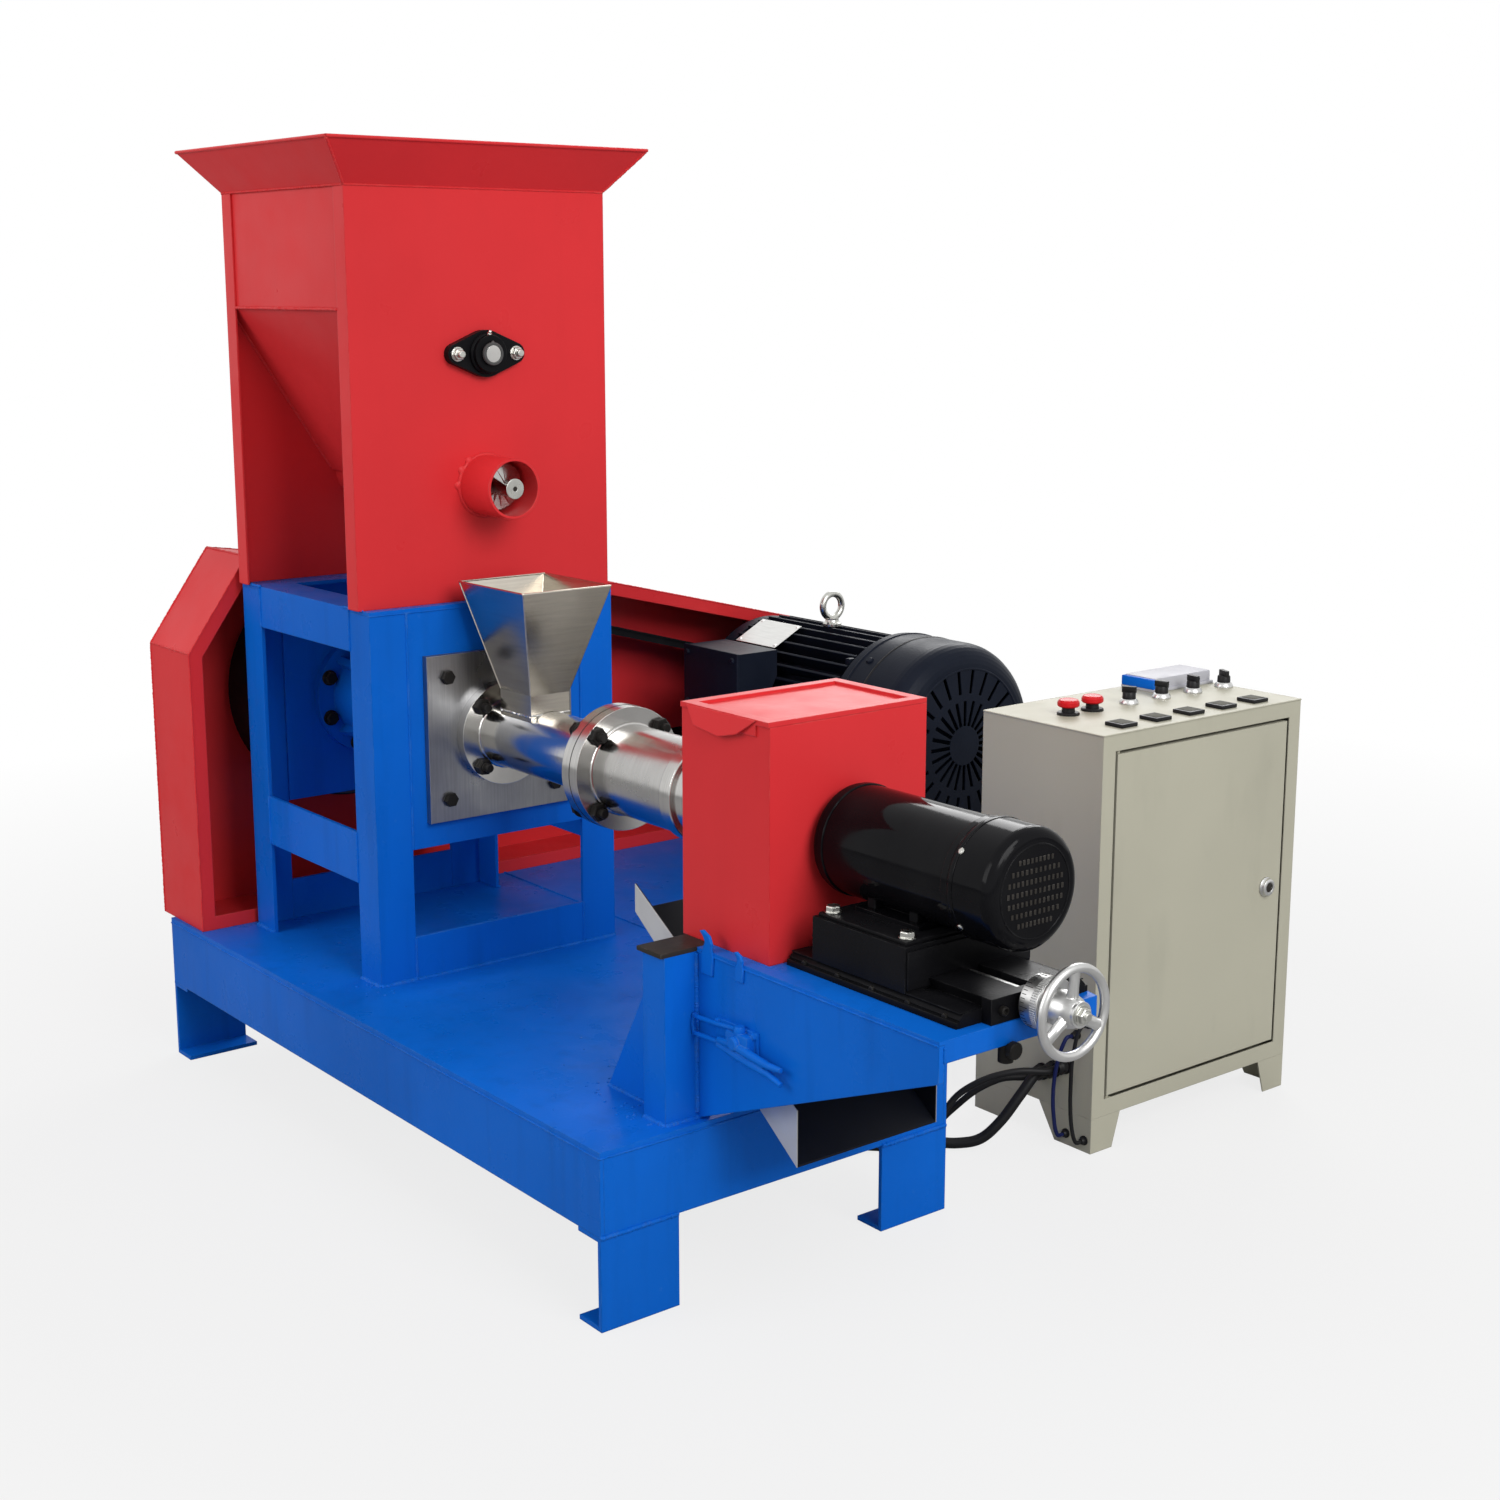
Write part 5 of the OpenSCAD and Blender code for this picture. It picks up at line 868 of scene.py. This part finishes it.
def handwheel_dress():
    """Dial marks, boss and flat spokes of the handwheel."""
    wheel = Piece("handwheel_spokes", "chrome", "handwheel")
    wheel_x = 1177.0
    sections = ((12, 9.0, 6.0, -3.0), (26, 7.5, 5.2, -1.5), (38, 7.0, 4.6, 0.0), (48, 8.2, 4.4, 0.0))
    for turn in turns(3):
        along = Vector((0, -sin(turn), cos(turn)))
        across = X_AXIS.cross(along)
        loops = []
        for reach, half, thick, lean in sections:
            centre = at(wheel_x + lean, 0, WHEEL_Z) + along * reach * MM
            loops.append([
                centre + (across * half * cos(t) + X_AXIS * thick * sin(t)) * MM
                for t in turns(14)
            ])
        wheel.rings(loops)
    wheel.lathe(at(1155, 0, WHEEL_Z), X_AXIS, [(0, 15), (0, 21), (10, 22), (24, 18), (30, 15.2)], 36)
    nut = Piece("handwheel_nut", "zinc_steel", "handwheel", "chrome", smooth=0.5)
    nut.lathe(at(1189, 0, WHEEL_Z), X_AXIS, [(0, 12), (1.6, 12)], 24)
    nut.lathe(at(1190, 0, WHEEL_Z), X_AXIS, [(0, 9.5), (6, 9.5), (7, 8)], 6)
    nut.lathe(at(1196, 0, WHEEL_Z), X_AXIS, [(0, 5.2), (3, 5.2), (4, 4.4)], 16)
    dial = Piece("dial_marks", "black_plastic", "handwheel", "chrome")
    for k, turn in enumerate(turns(40)):
        u = spoke(turn)
        reach = 11 if k % 5 == 0 else 6
        foot = at(DIAL_X0 + 1.5, 0, WHEEL_Z) + u * (DIAL_R + 0.02) * MM
        dial.tube([foot, foot + X_AXIS * reach * MM], 0.45, 6)
    knurl = Piece("dial_knurl", "chrome", "handwheel")
    for turn in turns(72):
        u = spoke(turn)
        foot = at(DIAL_X0 + 16, 0, WHEEL_Z) + u * DIAL_R * MM
        knurl.tube([foot, foot + X_AXIS * 8 * MM], 0.9, 6)


def motor_fittings():
    """Bolts, blank plate, box lid, eye nut and end screws of the drive motor."""
    bolts = Piece("motor_bolts", "zinc_steel", smooth=0.5)
    for side in (-1, 1):
        for x in (FRAME_X0 + 75, FRAME_X1 - 75):
            bolts.bolt(at(x, MOTOR_Y + side * 128, 318), Z_AXIS, 14)
    bolts.lathe(at(-211, MOTOR_Y, 644.5), Z_AXIS, [(0, 17), (5, 17), (8, 13), (14, 11.5)], 24)
    dark = Piece("motor_screws", "motor_paint", smooth=0.5)
    for place in ring_places(-410, MOTOR_Y, MOTOR_Z, 140, 6, 0.26):
        dark.bolt(place, -X_AXIS, 10, washer=False)
    for turn in (0.9, 2.2, 4.0, 5.3):
        u = spoke(turn)
        dark.lathe(at(8, MOTOR_Y, MOTOR_Z) + u * 173.6 * MM, u, [(0, 7), (2.5, 7), (4, 5)], 6)
        dark.block(
            (FRAME_X1 - 12, MOTOR_Y + 158 * u.y - 9, MOTOR_Z + 158 * u.z - 9),
            (FRAME_X1 + 1, MOTOR_Y + 158 * u.y + 9, MOTOR_Z + 158 * u.z + 9), 3.0
        )
    dark.hoop(-12, MOTOR_Y, MOTOR_Z, 174, 96, 2.0)
    dark.hoop(COWL_X1 - 0.5, MOTOR_Y, MOTOR_Z, 133, 96, 2.2)
    dark.block((-353, 613, 502), (-197, 619, 618), 2.5)
    for x in (-340, -210):
        for z in (515, 605):
            dark.lathe(at(x, 613, z), -Y_AXIS, [(0, 5), (3, 5), (4, 4)], 6)
    dark.lathe(at(-275, 645, 504), -Z_AXIS, [(0, 16), (8, 16), (8, 12), (20, 12), (22, 10)], 6)
    joint = Piece("motor_cowl_joint", "black_plastic", slot="motor_paint")
    joint.hoop(32, MOTOR_Y, MOTOR_Z, 172.6, 96, 2.8)
    plate = Piece("motor_blank_plate", "blank_plate", slot="zinc_steel")
    lean = 2.05
    out = spoke(lean)
    across = X_AXIS.cross(out)
    centre = at(-300, MOTOR_Y, MOTOR_Z) + out * 164.6 * MM
    plate.prism([(-56, -36), (56, -36), (56, 36), (-56, 36)], centre, X_AXIS, -across, 1.6, 0.5)
    for a in (-50, 50):
        for b in (-30, 30):
            plate.lathe(centre + (X_AXIS * a + across * b) * MM, out, [(0, 3), (2.2, 3), (3, 2)], 10)


PITCH = (CAB_Y1 - CAB_Y0) / 6
FIRST_Y = CAB_Y0 + PITCH
BUTTON_YS = (FIRST_Y, FIRST_Y + 0.7 * PITCH)


def cabinet_fittings():
    """Buttons, selectors and plates on the cabinet, its lock, louvers and the small box behind them."""
    top = CAB_Z1
    row_x, plate_x = 565.0, 669.0
    buttons = Piece("stop_buttons", "red_button", slot="red_paint")
    cap = [(9, 8), (11, 9), (12, 14.5), (14, 16.5), (19, 16.5), (22.5, 14), (24, 9), (24.4, 2)]
    for y in BUTTON_YS:
        buttons.lathe(at(row_x, y, top), Z_AXIS, cap, 36)
    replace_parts(buttons.finish(), "cabinet_controls")
    bezels = Piece("control_bezels", "chrome")
    knobs = Piece("control_knobs", "black_plastic")
    for y in BUTTON_YS:
        knobs.lathe(at(row_x, y, top), Z_AXIS, [(0, 17), (2.5, 17), (4, 15.5), (4, 10), (11, 9.5)], 36)
    for k in range(4):
        y = FIRST_Y + (k + 1.8) * PITCH
        bezels.lathe(at(row_x, y, top), Z_AXIS, [(0, 14.5), (3, 14.5), (6.5, 12.5), (8, 11)], 36)
        knobs.lathe(at(row_x, y, top), Z_AXIS, [(8, 10.4), (17, 10.0), (18.5, 9)], 32)
        turn = Matrix.Rotation(0.5 - 0.3 * k, 4, "Z")
        knobs.block((row_x - 11, y - 3.6, top + 17), (row_x + 11, y + 3.6, top + 27), 1.4, turn)
    faces = Piece("control_faces", "plate_face", slot="black_plastic")
    for k in range(5):
        y = FIRST_Y + k * PITCH
        knobs.block((plate_x - 17, y - 17, top), (plate_x + 17, y + 17, top + 6), 1.6)
        faces.block((plate_x - 12, y - 12, top + 5.6), (plate_x + 12, y + 12, top + 6.6), 0.5)
    box = Piece("meter_box", "pale_plastic", slot="grey_paint")
    box.block((466, 872, top), (530, 1004, top + 22), 4.0)
    box.block((463, 868, top), (533, 1008, top + 5), 1.5)
    end = Piece("meter_box_end", "blue_paint")
    end.block((464.5, 866.5, top + 4), (531.5, 874.5, top + 20), 2.5)
    lock = Piece("door_lock", "chrome", "cabinet_door")
    lock_y, lock_z = 944.0, 340.0
    barrel = [(0, 15.5), (2, 15.5), (3.5, 14), (7.6, 13), (8.8, 11), (8.8, 8.6), (7.3, 8.2)]
    lock.lathe(at(CAB_X1, lock_y, lock_z), X_AXIS, barrel, 40)
    # Dark disc in the lock's recess and a dark keyway block: painted shade of the recess and the keyhole.
    key = Piece("lock_slot", "dark_plate", "cabinet_door", "black_plastic")
    key.lathe(at(CAB_X1 + 7, lock_y, lock_z), X_AXIS, [(0, 7.6), (1.1, 7.4)], 24)
    key.block((CAB_X1 + 7.8, lock_y - 1.3, lock_z - 5.5), (CAB_X1 + 9, lock_y + 1.3, lock_z + 5.5), 0.4)
    slots = Piece("cabinet_louvers", "beige_paint")
    for k in range(7):
        place = at(CAB_X0 + 60, CAB_Y1 - 0.4, 420 + 22 * k)
        slots.prism([(0, 0), (6, 4), (6, 7), (0, 15)], place, Y_AXIS, Z_AXIS, 120, 0.6)
    edges = Piece("cabinet_top_edge", "beige_paint")
    edges.border(rectangle(CAB_X0, CAB_X1, CAB_Y0, CAB_Y1, top - 1), 1.3)


def cable_fittings():
    """Tapered cable glands with their nuts, on the cabinet and under the deck."""
    piece = Piece("gland_bodies", "black_plastic")
    reach = 20.0
    for route in (POWER_ROUTE, CUTTER_ROUTE, FEEDER_ROUTE):
        for tip, axis in ((route[0], Y_AXIS), (route[-1], Z_AXIS)):
            foot = Vector(tip) * MM
            piece.lathe(foot, axis, [(0.4, 8.4), (3, 9.6), (7, 10.4), (8, 11)], 28)
            piece.lathe(foot, axis, [(8, 12.2), (14, 12.2)], 6)
            piece.lathe(foot, axis, [(14, 10), (reach - 2.5, 10), (reach - 2.5, 13), (reach, 13)], 28)
    for route in (BLACK_ROUTE, BLUE_ROUTE):
        for tip, reach_in in ((route[0], 12.0), (route[-1], 8.0)):
            step = reach_in - 2
            grommet = [(0.4, 4), (2, 5), (4, 5.4), (step, 5.4), (step, 7.2), (reach_in, 7.2)]
            piece.lathe(Vector(tip) * MM, Y_AXIS, grommet, 20)
    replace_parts(piece.finish(), "cable_glands")


def feeder_fittings():
    """Fins, cover slots, lid and bolts of the feeder gearmotor, and bolts of the chain cover."""
    axis_x, axis_z = -492.0, FEED_Z
    fins = Piece("feeder_motor_fins", "grey_paint")
    for turn in turns(28):
        u = Vector((cos(turn), 0, sin(turn)))
        foot = at(axis_x, 70, axis_z) + u * 52 * MM
        tip = at(axis_x, 206, axis_z) + u * 52 * MM
        across = Y_AXIS.cross(u) * 1.3 * MM
        out = u * 5 * MM
        fins.rings([
            [foot - across, foot + across, foot + across + out, foot - across + out],
            [tip - across, tip + across, tip + across + out, tip - across + out],
        ])
    fins.block((axis_x - 34, 96, axis_z + 50), (axis_x + 34, 176, axis_z + 78), 3.0)
    fins.block((axis_x - 37, 93, axis_z + 74), (axis_x + 37, 179, axis_z + 80), 2.0)
    for y, axis in ((-58, -Y_AXIS), (58, Y_AXIS)):
        fins.lathe(at(axis_x, y, FEED_Z), axis, [(-2, 46), (4, 46), (6, 43)], 40)
    fins.lathe(at(-537, 0, FEED_Z), -X_AXIS, [(-2, 44), (5, 44), (7, 41)], 40)
    # The cover's holes are dark discs on its face: painted shade of the openings.
    slots = Piece("feeder_cover_slots", "dark_plate", slot="grey_paint")
    for ring_r, count in ((16, 8), (28, 14), (40, 20)):
        for turn in turns(count):
            place = at(axis_x + ring_r * cos(turn), 253.4, axis_z + ring_r * sin(turn))
            slots.lathe(place, Y_AXIS, [(0, 3), (1.2, 2.8)], 10)
    bolts = Piece("feeder_bolts", "zinc_steel", smooth=0.5)
    for turn in (0.785, 2.356, 3.927, 5.498):
        side, rise = cos(turn), sin(turn)
        bolts.bolt(at(-543, 34 * side, FEED_Z + 34 * rise), -X_AXIS, 7, washer=False)
        bolts.bolt(at(axis_x + 38 * side, -63, FEED_Z + 38 * rise), -Y_AXIS, 7, washer=False)
    for x in (axis_x - 30, axis_x + 30):
        for y in (100, 172):
            bolts.lathe(at(x, y, axis_z + 80), Z_AXIS, [(0, 3.6), (2, 3.6), (3, 2.6)], 12)
    for y, z in ((-46, 1000), (46, 1000), (-46, 1075), (46, 1075), (-46, 1150), (46, 1150), (0, 1200)):
        bolts.bolt(at(HOP_X0 - 42, y, z), -X_AXIS, 6)


def guard_fittings():
    """Bolts and seams of the belt guard, and the bent lip of the cutter guard's lid."""
    outline = ((-299, 233), (-299, 685), (-195, 832), (513, 728), (1004, 608), (1004, 233))
    seams = Piece("guard_seams", "red_paint")
    for a, b in zip(outline, outline[1:]):
        for x in (-424.6, -571.4):
            seams.weld((x, *a), (x, *b), 1.6)
    for y, z in outline[1:-1]:
        seams.weld((-571, y, z), (-425, y, z), 1.8)
    bolts = Piece("guard_bolts", "zinc_steel", smooth=0.5)
    for y, z in ((-284, 330), (-284, 520), (-284, 660), (988, 300), (988, 450), (988, 590)):
        bolts.bolt(at(-572, y, z), -X_AXIS, 8)
    lip = Piece("guard_lid_lip", "red_paint")
    lean = Vector((0, 0.2, 0.98)).normalized()
    outline = [(34, -24), (84, -30), (118, -22), (150, -0.5), (14, -0.5)]
    lip.prism(outline, at(BOX_X0, -BOX_Y, BOX_TOP), X_AXIS, lean, 2.0, 0.5)


def housing_bolts():
    """Bolts of the spindle's bearing housing and its cover."""
    piece = Piece("housing_bolts", "black_bolt", slot="black_casting", smooth=0.5)
    for place in ring_places(-383, 0, SCREW_Z, 86, 8, EIGHTH_TURN / 2):
        piece.bolt(place, X_AXIS, 12)
    for place in ring_places(-219, 0, SCREW_Z, 52, 6, 0.0):
        piece.bolt(place, X_AXIS, 9, washer=False)


barrel_fasteners()
funnel_edges()
bearing_fittings()
hopper_seams()
frame_welds()
arm_fittings()
latch_fittings()
slide_fittings()
cutter_motor_dress()
handwheel_dress()
motor_fittings()
cabinet_fittings()
cable_fittings()
feeder_fittings()
guard_fittings()
housing_bolts()
for piece in list(Piece.unfinished):
    piece.finish()


# Floor, backdrop and light
WHITE = (1.0, 1.0, 1.0, 1.0)
FLOOR_GREY = (0.42, 0.42, 0.42, 1.0)
FLOOR_R, FLOOR_Z = 9.0, -0.0006
FADE_FROM, FADE_TO, FADE_LEAST = 1.2, 3.2, 0.80
SKY_STRENGTH = 0.50


def add_floor():
    """Pale floor that keeps the shadow near the machine and fades to the white round it."""
    place = (0, 0, FLOOR_Z)
    bpy.ops.mesh.primitive_circle_add(vertices=96, radius=FLOOR_R, fill_type="NGON", location=place)
    floor = bpy.context.object
    floor.name = "floor"
    g = Graph()
    g.material.name = "floor"
    g.set(Base_Color=FLOOR_GREY, Roughness=0.75, Specular_IOR_Level=0.1)
    far = g.node("ShaderNodeVectorMath", operation="LENGTH")
    g.join(g.place, far.inputs[0])
    fade = g.spread(far.outputs["Value"], FADE_FROM, FADE_TO, FADE_LEAST)
    path = g.node("ShaderNodeLightPath").outputs
    shown = g.math("MAXIMUM", path["Is Camera Ray"], path["Is Transmission Ray"])
    white = g.node("ShaderNodeEmission").outputs["Emission"]
    g.blend(g.times(fade, shown), g.shader.outputs["BSDF"], white, "Material Output")
    floor.data.materials.append(g.material)


def add_world():
    """White to the eye and in reflections, and softer as a light."""
    world = bpy.data.worlds.new("studio")
    world.use_nodes = True
    g = Nodes(world.node_tree)
    light = g.tree.nodes["Background"]
    light.inputs["Color"].default_value = WHITE
    light.inputs["Strength"].default_value = SKY_STRENGTH
    seen = g.node("ShaderNodeBackground", {"Color": WHITE})
    path = g.node("ShaderNodeLightPath").outputs
    shown = g.math("MAXIMUM", path["Is Camera Ray"], path["Is Glossy Ray"])
    shown = g.math("MAXIMUM", shown, path["Is Transmission Ray"])
    g.blend(shown, light.outputs["Background"], seen.outputs["Background"], "World Output")
    bpy.context.scene.world = world


def add_lamp(name, place, target, size, power):
    """Soft square lamp that looks at a point."""
    data = bpy.data.lights.new(name, "AREA")
    data.size = size
    data.energy = power
    lamp = add_object(name, data)
    lamp.location = place
    lamp.rotation_euler = (Vector(target) - Vector(place)).to_track_quat("-Z", "Y").to_euler()


add_floor()
add_world()
add_lamp("key_lamp", (4.0, -0.5, 3.0), (0, -0.1, 0.6), 2.4, 136.0)
add_lamp("side_lamp", (-0.6, -4.2, 2.6), (0, -0.2, 0.7), 2.4, 66.0)
add_lamp("back_lamp", (-2.6, 3.4, 3.4), (0, 0.1, 0.6), 2.6, 110.0)
bpy.context.scene.view_settings.view_transform = "Standard"
